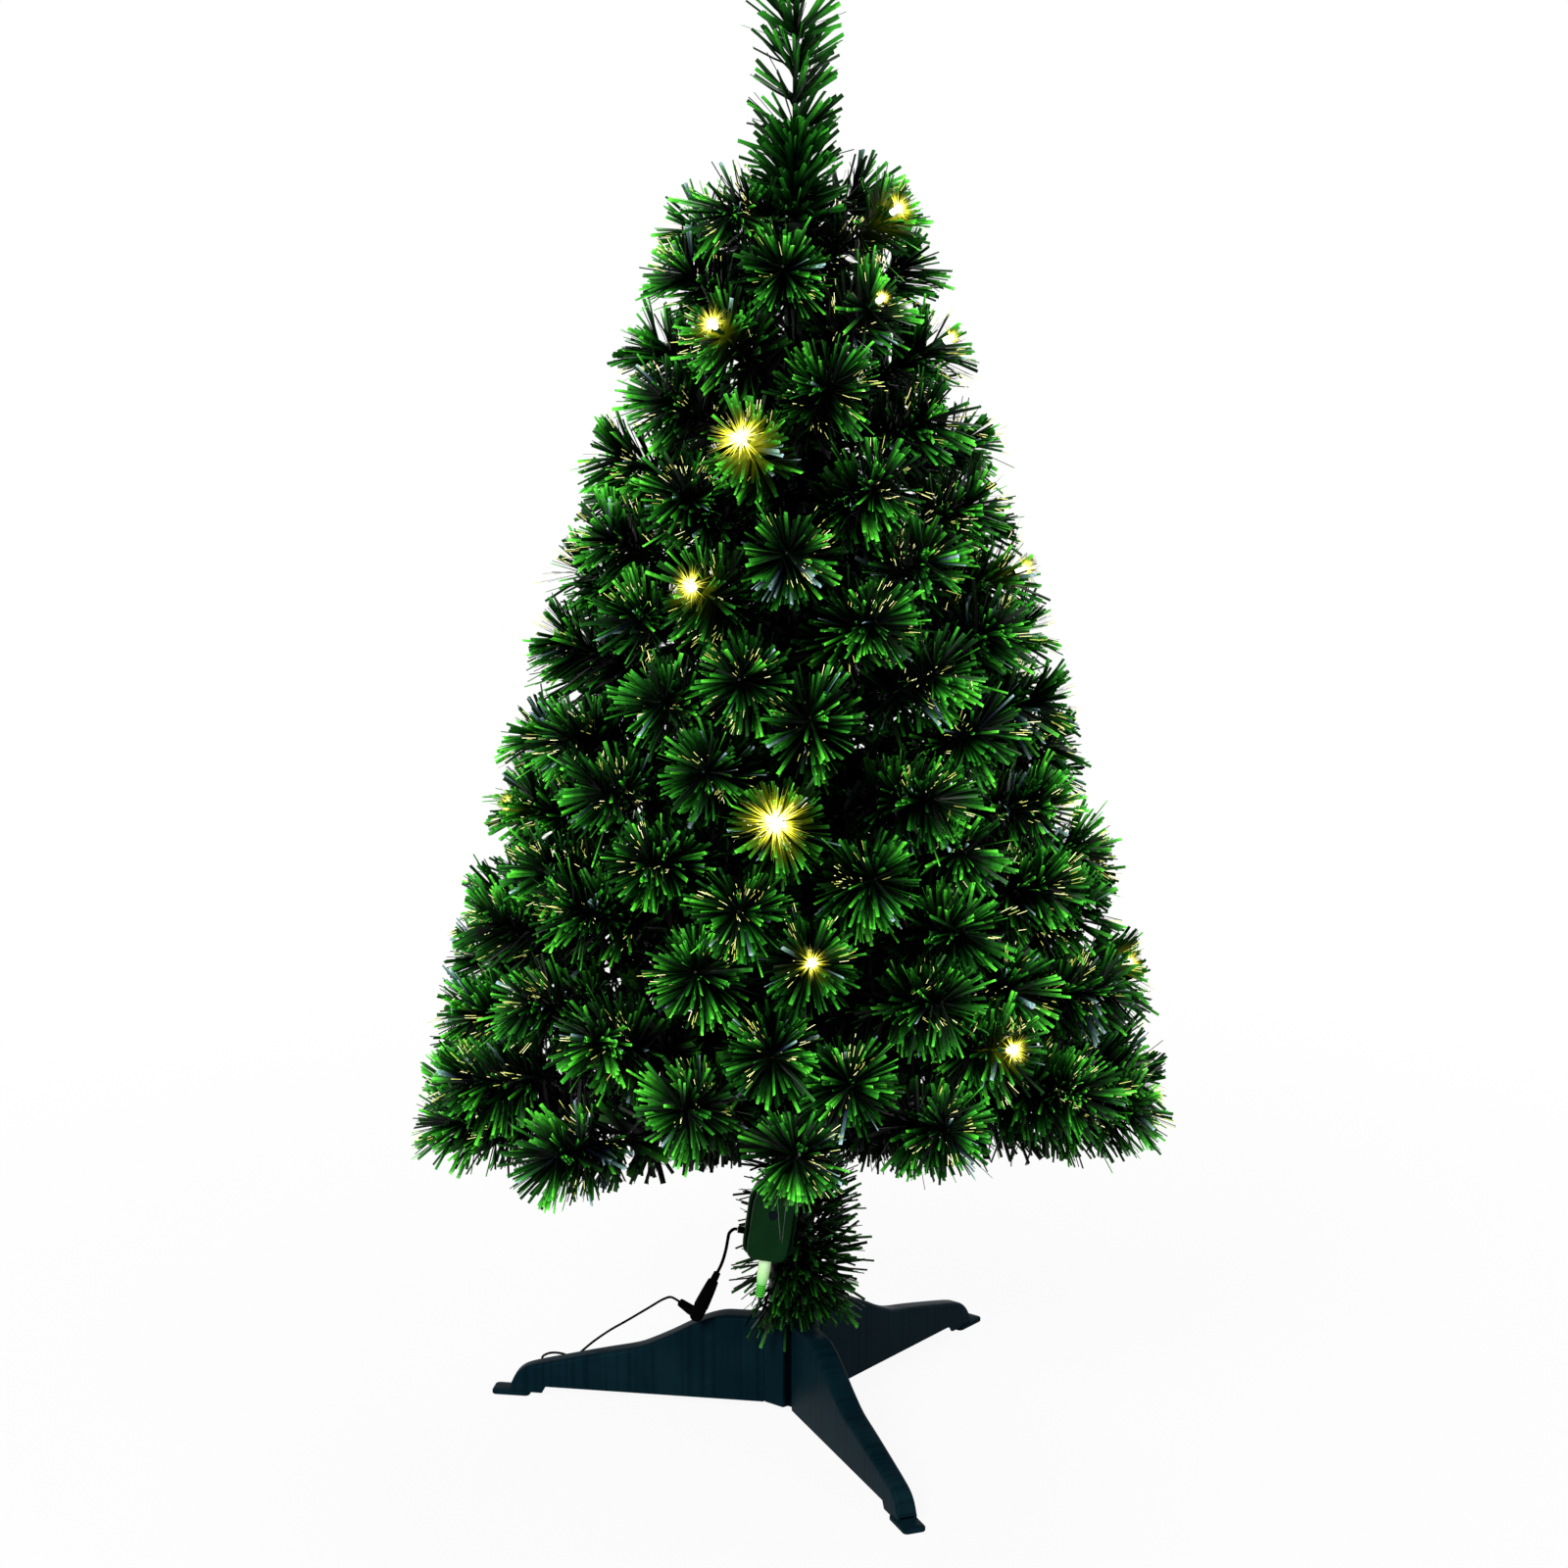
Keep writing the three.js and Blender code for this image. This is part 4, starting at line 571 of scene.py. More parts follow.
def within_carton(foot, aim, reach):
    """Lengths cut so that no straight needle ends more than 4 mm outside the solids' box."""
    low, high = np.array(cad_box[0]) - PAST_CARTON, np.array(cad_box[1]) + PAST_CARTON
    room = np.where(aim > 0, high - foot, foot - low) / np.maximum(np.abs(aim), 1e-6)
    return np.minimum(reach, room.min(1))


def fringe(at, length, n):
    """Needles that hang below a skirt branch, down to the skirt's lower edge."""
    foot = at(random.uniform(20 * MM, length - 22 * MM, n))
    aim = unit(random.normal(0, 0.35, (n, 3)) * [1, 1, 0] - UP)
    reach = np.minimum(random.uniform(26, 42, n) * MM, (foot[:, 2] - SKIRT_LOW) / -aim[:, 2])
    keep = reach > 12 * MM
    return foot[keep], aim[keep], reach[keep]


def trunk_needles(tier, n):
    """Feet, aims and lengths of needles that stand on the trunk between a tier's branches."""
    own = branch_root[tier * IN_TIER : (tier + 1) * IN_TIER]
    height = random.uniform(own[:, 2].min() - 3 * MM, own[:, 2].max() + 3 * MM, n)
    angle, lean = any_turn(n), np.radians(random.normal(18, 24, n))
    out = outwards(angle)
    foot = out * np.linalg.norm(own[0, :2]) + upright(height)
    aim = np.cos(lean)[:, None] * out + np.sin(lean)[:, None] * UP
    return foot, aim, random.uniform(26, 44, n) * MM


def needle_values(n):
    """The place along its needle of each of the nine points, and one random tone for all."""
    along = np.tile(np.repeat(np.linspace(0, 1, NEEDLE_ROWS), NEEDLE_ROUND), n)
    return along, np.repeat(random.uniform(0, 1, n) ** 1.2, NEEDLE_POINTS)


def batch(mesh, along, tone, radius):
    """A part of a tier's mesh with three numbers for its points. The last one, how far out of the
    tree a point lies, is its distance from the trunk's axis as a share of `radius`."""
    return mesh, along, tone, np.linalg.norm(mesh[0][:, :2], axis=1) / radius


def short_needles(foot, aim, reach, widths, darker):
    """Straight needles of random turn, and their numbers apart from the last one."""
    n = len(foot)
    turn, width = any_turn(n), random.uniform(*widths, n) * MM
    along, tone = needle_values(n)
    return strips(foot, aim, reach, width, turn), along, darker * tone


def wire_mesh(at, along, length):
    """The twisted wire as a six-sided rod of 1.1 mm radius that follows the branch."""
    s = np.linspace(0, length - 13 * MM, 6)
    a, b = across_of(along(s))
    turn = np.arange(6)[None, :, None] * np.pi / 3
    rings = np.cos(turn) * a[:, None] + np.sin(turn) * b[:, None]
    return capped_grid(at(s)[:, None] + 1.1 * MM * rings)


def fibre_clumps(at, along, length):
    """Starts, ends and directions of a branch's fibres, in clumps of three to seven that leave
    the wire together and end near the brush's face."""
    count = random.integers(5, 9)
    clump_s = length - random.uniform(10, 80, count) * MM
    hairs = random.integers(3, 8, count)
    clump = np.repeat(np.arange(count), hairs)
    axis = along(clump_s)
    a, b = across_of(axis)
    angle, off = any_turn(count), np.radians(random.uniform(12, 58, count))
    fan = np.cos(angle)[:, None] * a + np.sin(angle)[:, None] * b
    way = np.cos(off)[:, None] * axis + np.sin(off)[:, None] * fan
    way = unit(way[clump] + random.normal(0, 0.1, (len(clump), 3)))
    start = at(clump_s)[clump] + random.normal(0, 1.6 * MM, (len(clump), 3))
    past = length + 1.4 * FACE_PAST_TIP - clump_s[clump]
    limit = past / np.maximum(np.cos(off)[clump], 0.2)
    hair = np.minimum(random.uniform(34, 49, len(clump)) * MM, limit)
    return start, start + way * within_carton(start, way, hair)[:, None], way


bulb_axis = unit(branch_tip[BULB_BRANCHES] - branch_root[BULB_BRANCHES])
bulb_lens = branch_tip[BULB_BRANCHES] + 1 * MM * bulb_axis
bulb_core = np.array([5.6, 5, 5.2, 4, 11.5, 5.6, 6.8, 10.2, 3.6, 6, 2.8, 6]) * MM


def glow_at(points):
    """Light from the bulbs on the film: the greatest exp(-(d / r)^2) over all bulbs, where r is
    twice the bulb's bright core, and d counts 0.7 times as much along the bulb's axis as across."""
    light = np.zeros(len(points))
    for lens, axis, core in zip(bulb_lens, bulb_axis, bulb_core):
        away = points - lens
        ahead = away @ axis
        squared = (away**2).sum(1) - 0.5 * ahead**2
        light = np.maximum(light, np.exp(-squared / (2.0 * core) ** 2))
    return light


tier_pieces, fibres = [], []
for tier in range(TIERS):
    # Painted shade: needles on the trunk get 0.6 of their tone.
    on_trunk = short_needles(*trunk_needles(tier, TRUNK_NEEDLES), (3.0, 4.5), 0.6)
    batches = [batch(*on_trunk, outline_radius(on_trunk[0][0][:, 2]))]
    for index in range(tier * IN_TIER, (tier + 1) * IN_TIER):
        tip_radius = np.linalg.norm(branch_tip[index, :2])
        at, along, length = wire_curve(index)
        foot, aim, reach, width, axis, tone = brush_needles(at, along, length)
        reach = within_carton(foot, aim, reach)
        n = len(foot)
        droop = -UP * random.uniform(0, 2.5 * MM, n)[:, None]
        bend = 0.10 * reach[:, None] * random.uniform(-0.3, 1, n)[:, None] * (axis - aim) + droop
        brush = strips(foot, aim, reach, width, any_turn(n), bend)
        own = [(brush, needle_values(n)[0], np.repeat(tone, NEEDLE_POINTS))]
        if tier < FRINGED_TIERS:
            # Painted shade: needles that hang below a skirt branch get 0.75 of their tone.
            own.append(short_needles(*fringe(at, length, FRINGE_NEEDLES), (2.0, 3.2), 0.75))
        wire = wire_mesh(at, along, length)
        # The wire takes the colour of a needle's foot, so it carries the same painted shade.
        own.append((wire, np.zeros(len(wire[0])), np.full(len(wire[0]), 0.3)))
        batches += [batch(*part, tip_radius) for part in own]
        fibres.append(fibre_clumps(at, along, length))
    meshes, along_all, tone_all, outer_all = zip(*batches)
    points, quads, tris = combined(meshes)
    piece = piece_from(f"needles_tier_{tier + 1:02d}", points, quads, tris, smooth=False)
    point_values(
        piece, along=np.concatenate(along_all), tone=np.concatenate(tone_all),
        outer=np.concatenate(outer_all), glow=glow_at(points),
    )
    tier_pieces.append(placed(piece, "tree", "needles", f"branch_tier_{tier + 1:02d}"))
print("needle points:", sum(len(p.data.vertices) for p in tier_pieces))

# %% [markdown]
# Optical fibres run out along every wire and end among the needles. A fibre is clear and hardly
# seen, and only its cut end glows, so each one is a thin clear length with a short lit tip.

# %% Fibres and their lit tips
fibre_start, fibre_end, fibre_way = (np.concatenate(part) for part in zip(*fibres))
lit_from = fibre_end - (random.uniform(2.5, 11.0, len(fibre_end)) * MM)[:, None] * fibre_way
stray_start = np.array([[-16, -44, 236], [-2, -46, 238], [-9, -42, 232], [0, -44, 230]]) * MM
stray_end = np.array([[-11, -42, 160], [-9.5, -43, 158], [-16, -40, 186], [6, -42, 190]]) * MM
clear_fibres = piece_from("branch_fibres", *spikes(fibre_start, lit_from, 0.3 * MM))
lit_fibres = piece_from("fibre_tips", *spikes(lit_from, fibre_end, 0.42 * MM))
point_values(lit_fibres, tone=np.repeat(random.uniform(0, 1, len(fibre_end)), 6))
stray_fibres = piece_from("stray_fibres", *spikes(stray_start, stray_end, 0.45 * MM))
placed(clear_fibres, "tree", "clear_fibre")
placed(lit_fibres, "tree", "bulb")
placed(stray_fibres, "tree", "clear_fibre")
print("fibres:", len(fibre_end))

# %% [markdown]
# Each small bulb sits in a tuft of fine hairs, and the picture shows it as a white core with golden
# rays. The tuft's glow is painted light: it is brightest at the lens and fades outwards. The tuft's
# hairs leave the lens in all directions but backwards. They overlap near it and thin out with
# distance, so together they draw the core and the rays in true 3-D.

# %% Tufts of painted glare round the bulbs
HAIRS, MIRRORED = 120, 0.9
hair_axis = np.repeat(bulb_axis, HAIRS, axis=0)
hair_core = np.repeat(bulb_core, HAIRS)
hair_way = unit(random.normal(0, 1, hair_axis.shape))
ahead = (hair_way * hair_axis).sum(1)
turned_back = (ahead - np.abs(ahead) * MIRRORED)[:, None] * (ahead < 0)[:, None]
hair_way = unit(hair_way - turned_back * hair_axis)
hair_start = np.repeat(bulb_lens, HAIRS, axis=0) + 1.0 * MM * hair_way
hair_length = hair_core * random.uniform(1.3, 2.6, len(hair_core))
hair_end = hair_start + hair_way * hair_length[:, None]
hair_width = 0.075 * hair_core[:, None, None] + 0.15 * MM
glare_hairs = piece_from("bulb_glare_hairs", *spikes(hair_start, hair_end, hair_width, 0.45))
# Painted light: each hair's glow is 1 at the lens and 0 at its outer end.
point_values(glare_hairs, glow=np.tile(np.repeat([1.0, 0.0], 3), len(hair_start)))
placed(glare_hairs, "tree", "bulb")
print("hairs:", len(hair_start))

# %% [markdown]
# The leader is a thinner brush of its own. Its needles are broad and stand in whorls, with bare
# stem between them, and a dense collar of needles closes the gap to the topmost branches. It
# stands on a flange in the top of the trunk.

# %% Leader
WHORLS = np.array([0.998, 1.016, 1.040, 1.064, 1.088, 1.112, 1.136, 1.160])
COLLAR_LOW, COLLAR_HIGH, LEADER_LAST, LEADER_TOP = 0.950, 0.995, 1.172, 1.203
in_whorls, in_collar = 240, 260
n = in_whorls + in_collar
leader_z = np.concatenate([
    WHORLS[np.arange(in_whorls) % len(WHORLS)] + random.normal(0, 3.2 * MM, in_whorls),
    random.uniform(COLLAR_LOW, COLLAR_HIGH, in_collar),
])
leader_z = np.clip(leader_z, COLLAR_LOW, LEADER_LAST)
leader_angle = any_turn(n)
whorl_lean = random.normal(56, 12, in_whorls) - 24 * (leader_z[:in_whorls] > 1.12)
collar_lean = np.interp(leader_z[in_whorls:], [COLLAR_LOW, COLLAR_HIGH], [78, 40])
lean = np.radians(np.concatenate([whorl_lean, collar_lean + random.normal(0, 15, in_collar)]))
out = outwards(leader_angle)
aim = np.sin(lean)[:, None] * out + np.cos(lean)[:, None] * UP
reach = random.uniform(35, 47, n) * MM
reach = np.minimum(reach, (LEADER_TOP - leader_z) / np.maximum(aim[:, 2], 0.3))
width, turn = random.uniform(2.8, 4.2, n) * MM, any_turn(n)
foot = upright(leader_z) + 0.8 * MM * out
leader_strips = strips(foot, aim, reach, width, turn, 0.06 * reach[:, None] * (UP - aim))
leader_stem = capped_grid(turned_grid([
    [6.7 * MM, 0.935], [6.7 * MM, 0.9503], [8 * MM, 0.9503], [8 * MM, 0.9523], [2.4 * MM, 0.9535],
    [1.6 * MM, 1.05], [1.2 * MM, LEADER_LAST], [0.3 * MM, 1.1735],
], [0, 0, 0], UP, 16))
leader = piece_from("leader_brush", *combined([leader_strips, leader_stem]), smooth=False)
along_needle, tone = needle_values(n)
# Painted shade: the collar's needles get 0.78 of their tone.
collar_shade = np.repeat([1.0, 0.78], [in_whorls * NEEDLE_POINTS, in_collar * NEEDLE_POINTS])
stem = np.ones(len(leader_stem[0]))
point_values(
    leader,
    along=np.concatenate([0.35 + 0.6 * along_needle, 0 * stem]),
    tone=np.concatenate([(0.2 + 0.7 * tone) * collar_shade, 0.4 * stem]),
    outer=np.concatenate([np.full(n * NEEDLE_POINTS, 0.93), 0.5 * stem]),
    glow=np.zeros(n * NEEDLE_POINTS + len(stem)),
)
placed(leader, "tree", "needles", "leader")
print("leader needles:", n)

# %% [markdown]
# A short garland of the same film is wound round the foot of the trunk, above and over the
# stand's socket. Needles that would run through the light box or its connectors are left out.


# %% Garland round the trunk's foot
def in_box(points, grow=1.5):
    """True for points inside the light box or nearer to it than `grow` millimetres."""
    x, y, z = box_coordinates(points)
    return (
        (np.abs(x) < 20 + grow) & (y > -12 - grow) & (y < 10 + grow)
        & (z > -grow) & (z < 62 + grow)
    )


def clear_of_box(foot, aim, reach):
    """True for needles of which no part lies in the light box or in the space of its plugs."""
    keep = np.ones(len(foot), bool)
    for s in np.linspace(0, 1, 7):
        p = foot + s * reach[:, None] * aim
        x, y, z = box_coordinates(p)
        keep &= ~((np.abs(x) < 21.5) & (y > -13.5) & (y < 11) & (z > -1.5) & (z < 69))
        keep &= ~((np.abs(x) < 8) & (y < 7) & (z > -40) & (z <= 0))
        q = p - SUPPLY_START
        along = q @ SUPPLY_DOWN
        aside = np.linalg.norm(q - along[:, None] * SUPPLY_DOWN, axis=1)
        keep &= ~((aside < 8 * MM) & (along > -10 * MM) & (along < 50 * MM))
    return keep


LEG_DEGREES = {"back": 51.2, "left": 171.2, "front": 291.2}
GARLAND_Z = np.array([0.096, 0.134, 0.150, 0.180, 0.200, 0.226])
GARLAND_CORE = np.array([23.8, 21.8, 19.8, 18.2, 16.2, 13.5]) * MM
all_round, in_front_only = 1000, 360
n = all_round + in_front_only
in_front = np.arange(n) >= all_round
garland_z = np.concatenate([
    random.uniform(0.102, 0.222, all_round), random.uniform(0.098, 0.140, in_front_only),
])
garland_angle = np.concatenate([
    any_turn(all_round), np.radians(random.uniform(208, 326, in_front_only)),
])
core = np.interp(garland_z, GARLAND_Z, GARLAND_CORE)
lean = np.interp(garland_z, [0.10, 0.14, 0.19, 0.222], [-48, -12, 18, 34])
leg_aims = np.radians(list(LEG_DEGREES.values()))
from_leg = np.abs((garland_angle[:, None] - leg_aims + np.pi) % (2 * np.pi) - np.pi).min(1)
over_leg = from_leg < math.radians(34)
lean = np.where(over_leg, np.maximum(lean, -22), lean)
to_right = np.cos(garland_angle)
lean += 30 * np.clip(to_right, 0, 1) * (garland_z > 0.125)
lean = np.radians(lean + random.normal(0, 17, n))
out = outwards(garland_angle + random.normal(0, 0.5, n))
aim = np.cos(lean)[:, None] * out + np.sin(lean)[:, None] * UP
reach = random.uniform(20, 40, n) * MM * (1 + 0.12 * to_right)
foot = core[:, None] * outwards(garland_angle) + upright(garland_z)
keep = clear_of_box(foot, aim, reach)
keep &= in_front | (random.uniform(0, 1, n) < 0.75 + 0.45 * to_right)
keep &= foot[:, 2] + reach * aim[:, 2] > np.where(over_leg, 0.088, 0.06)
foot, aim, reach, in_front = foot[keep], aim[keep], reach[keep], in_front[keep]
n = len(foot)
sag = -0.12 * reach[:, None] * UP * random.uniform(0, 1, n)[:, None]
width, turn = random.uniform(1.8, 3.0, n) * MM, any_turn(n)
garland_strips = strips(foot, aim, reach, width, turn, sag)


def garland_winding(rows=90, columns=72, turns=11):
    """The wound wire of the garland as a sleeve: the outer radius is the core's, less 2 mm of
    hollow between the turns, r = core - 2 |sin(pi * (turns * share - angle / 2 pi))|. It leaves
    room for the light box. The inner wall clears the socket and then the trunk."""
    share = np.linspace(0, 1, rows)
    z = 0.097 + share * 0.127
    angle = np.linspace(0, 2 * np.pi, columns, endpoint=False)
    ripple = np.abs(np.sin(np.pi * (turns * share[:, None] - angle / (2 * np.pi))))
    outer = (np.interp(z, GARLAND_Z, GARLAND_CORE) - 1 * MM)[:, None] - 2 * MM * ripple
    out, up = outwards(angle), z[:, None, None] * UP
    outer = np.where(in_box(outer[..., None] * out + up), 13.3 * MM, outer)
    inner = np.where(z < 0.1365, 18.8, 12.9) * MM
    outer = np.maximum(outer, inner[:, None] + 0.3 * MM)
    grid = np.concatenate([outer[..., None] * out + up, (inner[:, None, None] * out + up)[::-1]])
    quads = grid_faces(len(grid), columns, rows_closed=True)
    return grid.reshape(-1, 3), quads, np.empty((0, 3), int)


winding = garland_winding()
garland = piece_from("garland_brush", *combined([garland_strips, winding]), smooth=False)
along_needle, tone = needle_values(n)
# Painted shade: the needles added in front get 0.78 of their tone.
front_shade = np.repeat(np.where(in_front, 0.78, 1.0), NEEDLE_POINTS)
wound = np.ones(len(winding[0]))
point_values(
    garland,
    along=np.concatenate([along_needle, 0.3 * wound]),
    tone=np.concatenate([front_shade * tone, 0.05 * wound]),
    outer=np.full(n * NEEDLE_POINTS + len(wound), 0.8),
    glow=np.zeros(n * NEEDLE_POINTS + len(wound)),
)
placed(garland, "tree", "needles", "trunk_garland")
print("garland needles:", n)

# %% [markdown]
# The legs are moulded channels: thin walls, rounded upper edges, open underneath with cross ribs,
# and a flat pad at the end. A closed U-shaped line is carried outwards while its height follows
# the leg's top line, which is rounded at its corners.

# %% Legs
HUB_FACE, LEG_END = 23.0, 233
LEG_TOP = np.array([
    [20, 80], [45, 80], [57.1, 80], [72.2, 75.2], [86.2, 68], [100.2, 60], [116.5, 52],
    [127, 47.5], [154.9, 41.5], [181.7, 35], [209.7, 28], [222.5, 24], [229.5, 17.6], [233, 9.6],
])
RIBS_AT = [30.3, 57.1, 100.2, 149, 209.7]


def leg_half(x):
    """Half the leg's width, which falls evenly from 10.7 mm at the hub to 7.75 mm at its end."""
    return np.interp(x, [HUB_FACE, LEG_END], [10.7, 7.75])


def leg_shell(line):
    """The leg along +x. Section at x: an outer line that rises from the underside to the top line,
    with quarter-circle corners of 4 mm, then an inner line 2 mm inside it. The two ends are closed
    between the outer line and the three sides of the inner one."""
    x = np.unique(np.concatenate([np.linspace(HUB_FACE, 210, 60), np.linspace(210, LEG_END, 16)]))
    top = np.interp(x, line[:, 0], line[:, 1])
    half = leg_half(x)
    bottom = np.where(x < 205, 8.8, 3.2)
    bend = np.radians(np.linspace(0, 90, 7))
    fillet = np.minimum(4.0, (top - bottom) / 2)[:, None]
    right_y = half[:, None] - fillet * (1 - np.cos(bend))
    right_z = top[:, None] - fillet * (1 - np.sin(bend))
    low = bottom[:, None]
    outer_y = np.concatenate([half[:, None], right_y, -right_y[:, ::-1], -half[:, None]], axis=1)
    outer_z = np.concatenate([low, right_z, right_z[:, ::-1], low], axis=1)
    thin = np.maximum(half - 2, 1)[:, None]
    roof = np.maximum(top - 3, bottom + 0.3)[:, None]
    y = np.concatenate([outer_y, -thin, -thin, thin, thin], axis=1)
    z = np.concatenate([outer_z, low, roof, roof, low], axis=1)
    rows, columns = y.shape
    grid = np.stack([np.repeat(x[:, None], columns, axis=1), y, z], axis=2)
    steps = outer_y.shape[1] - 1
    strip = np.arange(steps)
    inner_of = columns - 1 - np.round(strip * 3 / steps).astype(int)
    inner_next = columns - 1 - np.round((strip + 1) * 3 / steps).astype(int)
    start_cap = np.stack([strip, strip + 1, inner_next, inner_of], axis=1)
    end_cap = start_cap[:, ::-1] + (rows - 1) * columns
    caps = np.concatenate([start_cap, end_cap])
    flat, flat_end = caps[:, 2] == caps[:, 3], caps[:, 0] == caps[:, 1]
    tris = np.concatenate([caps[flat][:, [0, 1, 2]], caps[flat_end][:, [1, 2, 3]]])
    quads = np.concatenate([grid_faces(rows, columns), caps[~flat & ~flat_end]])
    return grid.reshape(-1, 3), quads, tris


def leg_rib(at, line):
    """A cross rib 2 mm thick between the channel's walls, under its roof."""
    h, roof = leg_half(at) - 1.5, np.interp(at, line[:, 0], line[:, 1]) - 2.5
    ring = np.array([[h, 9.0], [h, roof], [-h, roof], [-h, 9.0]])
    return capped_grid(np.stack([np.column_stack([np.full(4, x), ring]) for x in (at - 1, at + 1)]))


def block_ring(half_x, half_y, corner, z, columns=48):
    """A rounded rectangle at height z: the corner's circle, moved out by what is left of each
    half side."""
    angle = np.linspace(0, 2 * np.pi, columns, endpoint=False)
    cx, cy = np.cos(angle), np.sin(angle)
    x = np.sign(cx) * (half_x - corner) + corner * cx
    y = np.sign(cy) * (half_y - corner) + corner * cy
    return np.stack([x, y, np.full(columns, z)], axis=1)


def foot_pad():
    """The pad: a rounded rectangle 31.5 by 18.5 mm, 4 mm thick, with its upper edge rounded."""
    return capped_grid(np.array([
        block_ring(15.75 - inset, 9.25 - inset, max(4.0 - inset, 0.6), z) + [LEG_END, 0, 0]
        for inset, z in [(0.6, 0.0), (0.0, 0.6), (0.0, 2.9), (0.35, 3.6), (1.2, 4.0), (6.0, 4.2)]
    ]))


leg_line = rounded_line(LEG_TOP, 11, 5)
ribs = [leg_rib(at, leg_line) for at in RIBS_AT]
leg_points, leg_quads, leg_tris = combined([leg_shell(leg_line), *ribs, foot_pad()])
stand_pieces = []
for name, degrees in LEG_DEGREES.items():
    around = turned_by(degrees, leg_points) * MM
    leg = piece_from(f"leg_{name}_moulded", around, leg_quads, leg_tris, sharp=35)
    point_values(leg, reach=leg_points[:, 0] / LEG_END)
    stand_pieces.append(placed(leg, "stand", "stand", f"leg_{name}"))
print("points in a leg:", len(leg_points))

# %% [markdown]
# The hub carries the three legs and the socket for the trunk. One outline runs round it, with a
# deep groove beside each leg that shows as a dark line, partly from its own shade and partly from
# painted shade in its colour. The same number of points is then led over the top, up the socket and
# down into its bore, so the whole hub is one closed skin.

# %% Hub
HUB_ROWS = [
    (None, 0.8, 8.8), (None, 0, 9.6), (None, 0, 78.8), (None, 0.3, 79.6), (None, 1.1, 80),
    (18.8, 0, 80), (18, 0, 80.8), (18, 0, 133.2), (17.7, 0, 133.8), (17.2, 0, 134),
    (13.3, 0, 134), (12.8, 0, 133.5), (12.8, 0, 14),
]
OUTER_ROWS, GROOVE_WITHIN = 5, 20.2


def hub_outline(inset):
    """Leg faces 23 mm out and flats between them. Each flat starts with a groove, 5 mm deep."""
    across, out = np.array([-math.sqrt(0.75), -0.5]), np.array([0.5, -math.sqrt(0.75)])
    corner = np.array([HUB_FACE, -10.62])
    side = np.array([
        corner + 9.6 * across, corner + 8.6 * across - 5 * out, corner + 1.8 * across - 5 * out,
        corner + 0.6 * across, corner, [HUB_FACE, 10.62],
    ])
    line = np.concatenate([turned_by(degrees, side) for degrees in LEG_DEGREES.values()])
    return rounded_line(line, 0.8, 4, closed=True) * (1 - inset / HUB_FACE)


def hub_rows():
    """Rings from the underside to the bore's floor: (radius or None for the outline, inset, z)."""
    rows = []
    outline = hub_outline(0)
    angle = np.arctan2(outline[:, 1], outline[:, 0])
    for radius, inset, z in HUB_ROWS:
        flat = hub_outline(inset)
        if radius:
            flat = radius * np.stack([np.cos(angle), np.sin(angle)], axis=1)
        rows.append(np.column_stack([flat, np.full(len(flat), z)]))
    return np.array(rows) * MM


hub = piece_from("hub_moulded", *capped_grid(hub_rows()), sharp=35)
# Painted shade: the points of the grooves carry a number that darkens the stand's colour there.
in_groove = np.zeros((len(HUB_ROWS), len(hub_outline(0))))
in_groove[:OUTER_ROWS] = np.linalg.norm(hub_outline(0), axis=1) < GROOVE_WITHIN
point_values(hub, shut=np.concatenate([in_groove.ravel(), [0, 0]]))
stand_pieces.append(placed(hub, "stand", "stand", "stand_hub"))
print("hub rings:", len(HUB_ROWS))

# %% [markdown]
# The light box has two moulded halves with a fine gap between them. Each half is a line carried
# round the outline: along the side wall, over the rounded edge and across the face. In the front
# half that line goes on down the button's hole and back along the inside, so the wall is real.

# %% Light box
CASE_HEIGHT, BACK_HALF, FRONT_HALF, BUTTON_HEIGHT = 62, 20, 16.5, 39
CASE_SHARES = np.array([[0.7, 0], [0.925, 0.05], [1, 0.13], [1, 0.77], [0.8, 0.95], [0.62, 1]])


def case_outline(half, inset, round_by=4.5):
    """The case's outline in its own (x, z), anticlockwise from below, with rounded corners."""
    right = CASE_SHARES * [half - inset, CASE_HEIGHT - 2 * inset] + [0, inset]
    return rounded_line(np.concatenate([right, right[::-1] * [-1, 1]]), round_by, 5, closed=True)


def edge_steps(y_open, y_closed, radius, steps=5):
    """(inset, y) pairs from the open rim along the wall and round the edge to the closed face."""
    inward = math.copysign(1, y_open - y_closed)
    bend = np.linspace(0, np.pi / 2, steps)
    y = y_closed + inward * radius * (1 - np.sin(bend))
    return [(0, y_open)] + list(zip(radius * (1 - np.cos(bend)), y))


def at_depth(ring, y):
    """A flat ring of (x, z) at one y."""
    return np.stack([ring[:, 0], np.full(len(ring), y), ring[:, 1]], axis=1)


def case_rows(half, pairs):
    return [at_depth(case_outline(half, inset), y) for inset, y in pairs]


def hole_ring(radius, y, like):
    """A circle round the button's axis whose points lie towards those of the outline."""
    angle = np.arctan2(like[:, 2] - BUTTON_HEIGHT, like[:, 0])
    x, z = radius * np.cos(angle), BUTTON_HEIGHT + radius * np.sin(angle)
    return at_depth(np.stack([x, z], axis=1), y)


def level_rings(ring, heights):
    return capped_grid(np.stack([
        np.column_stack([ring, np.full(len(ring), z)]) for z in heights
    ]) * MM)


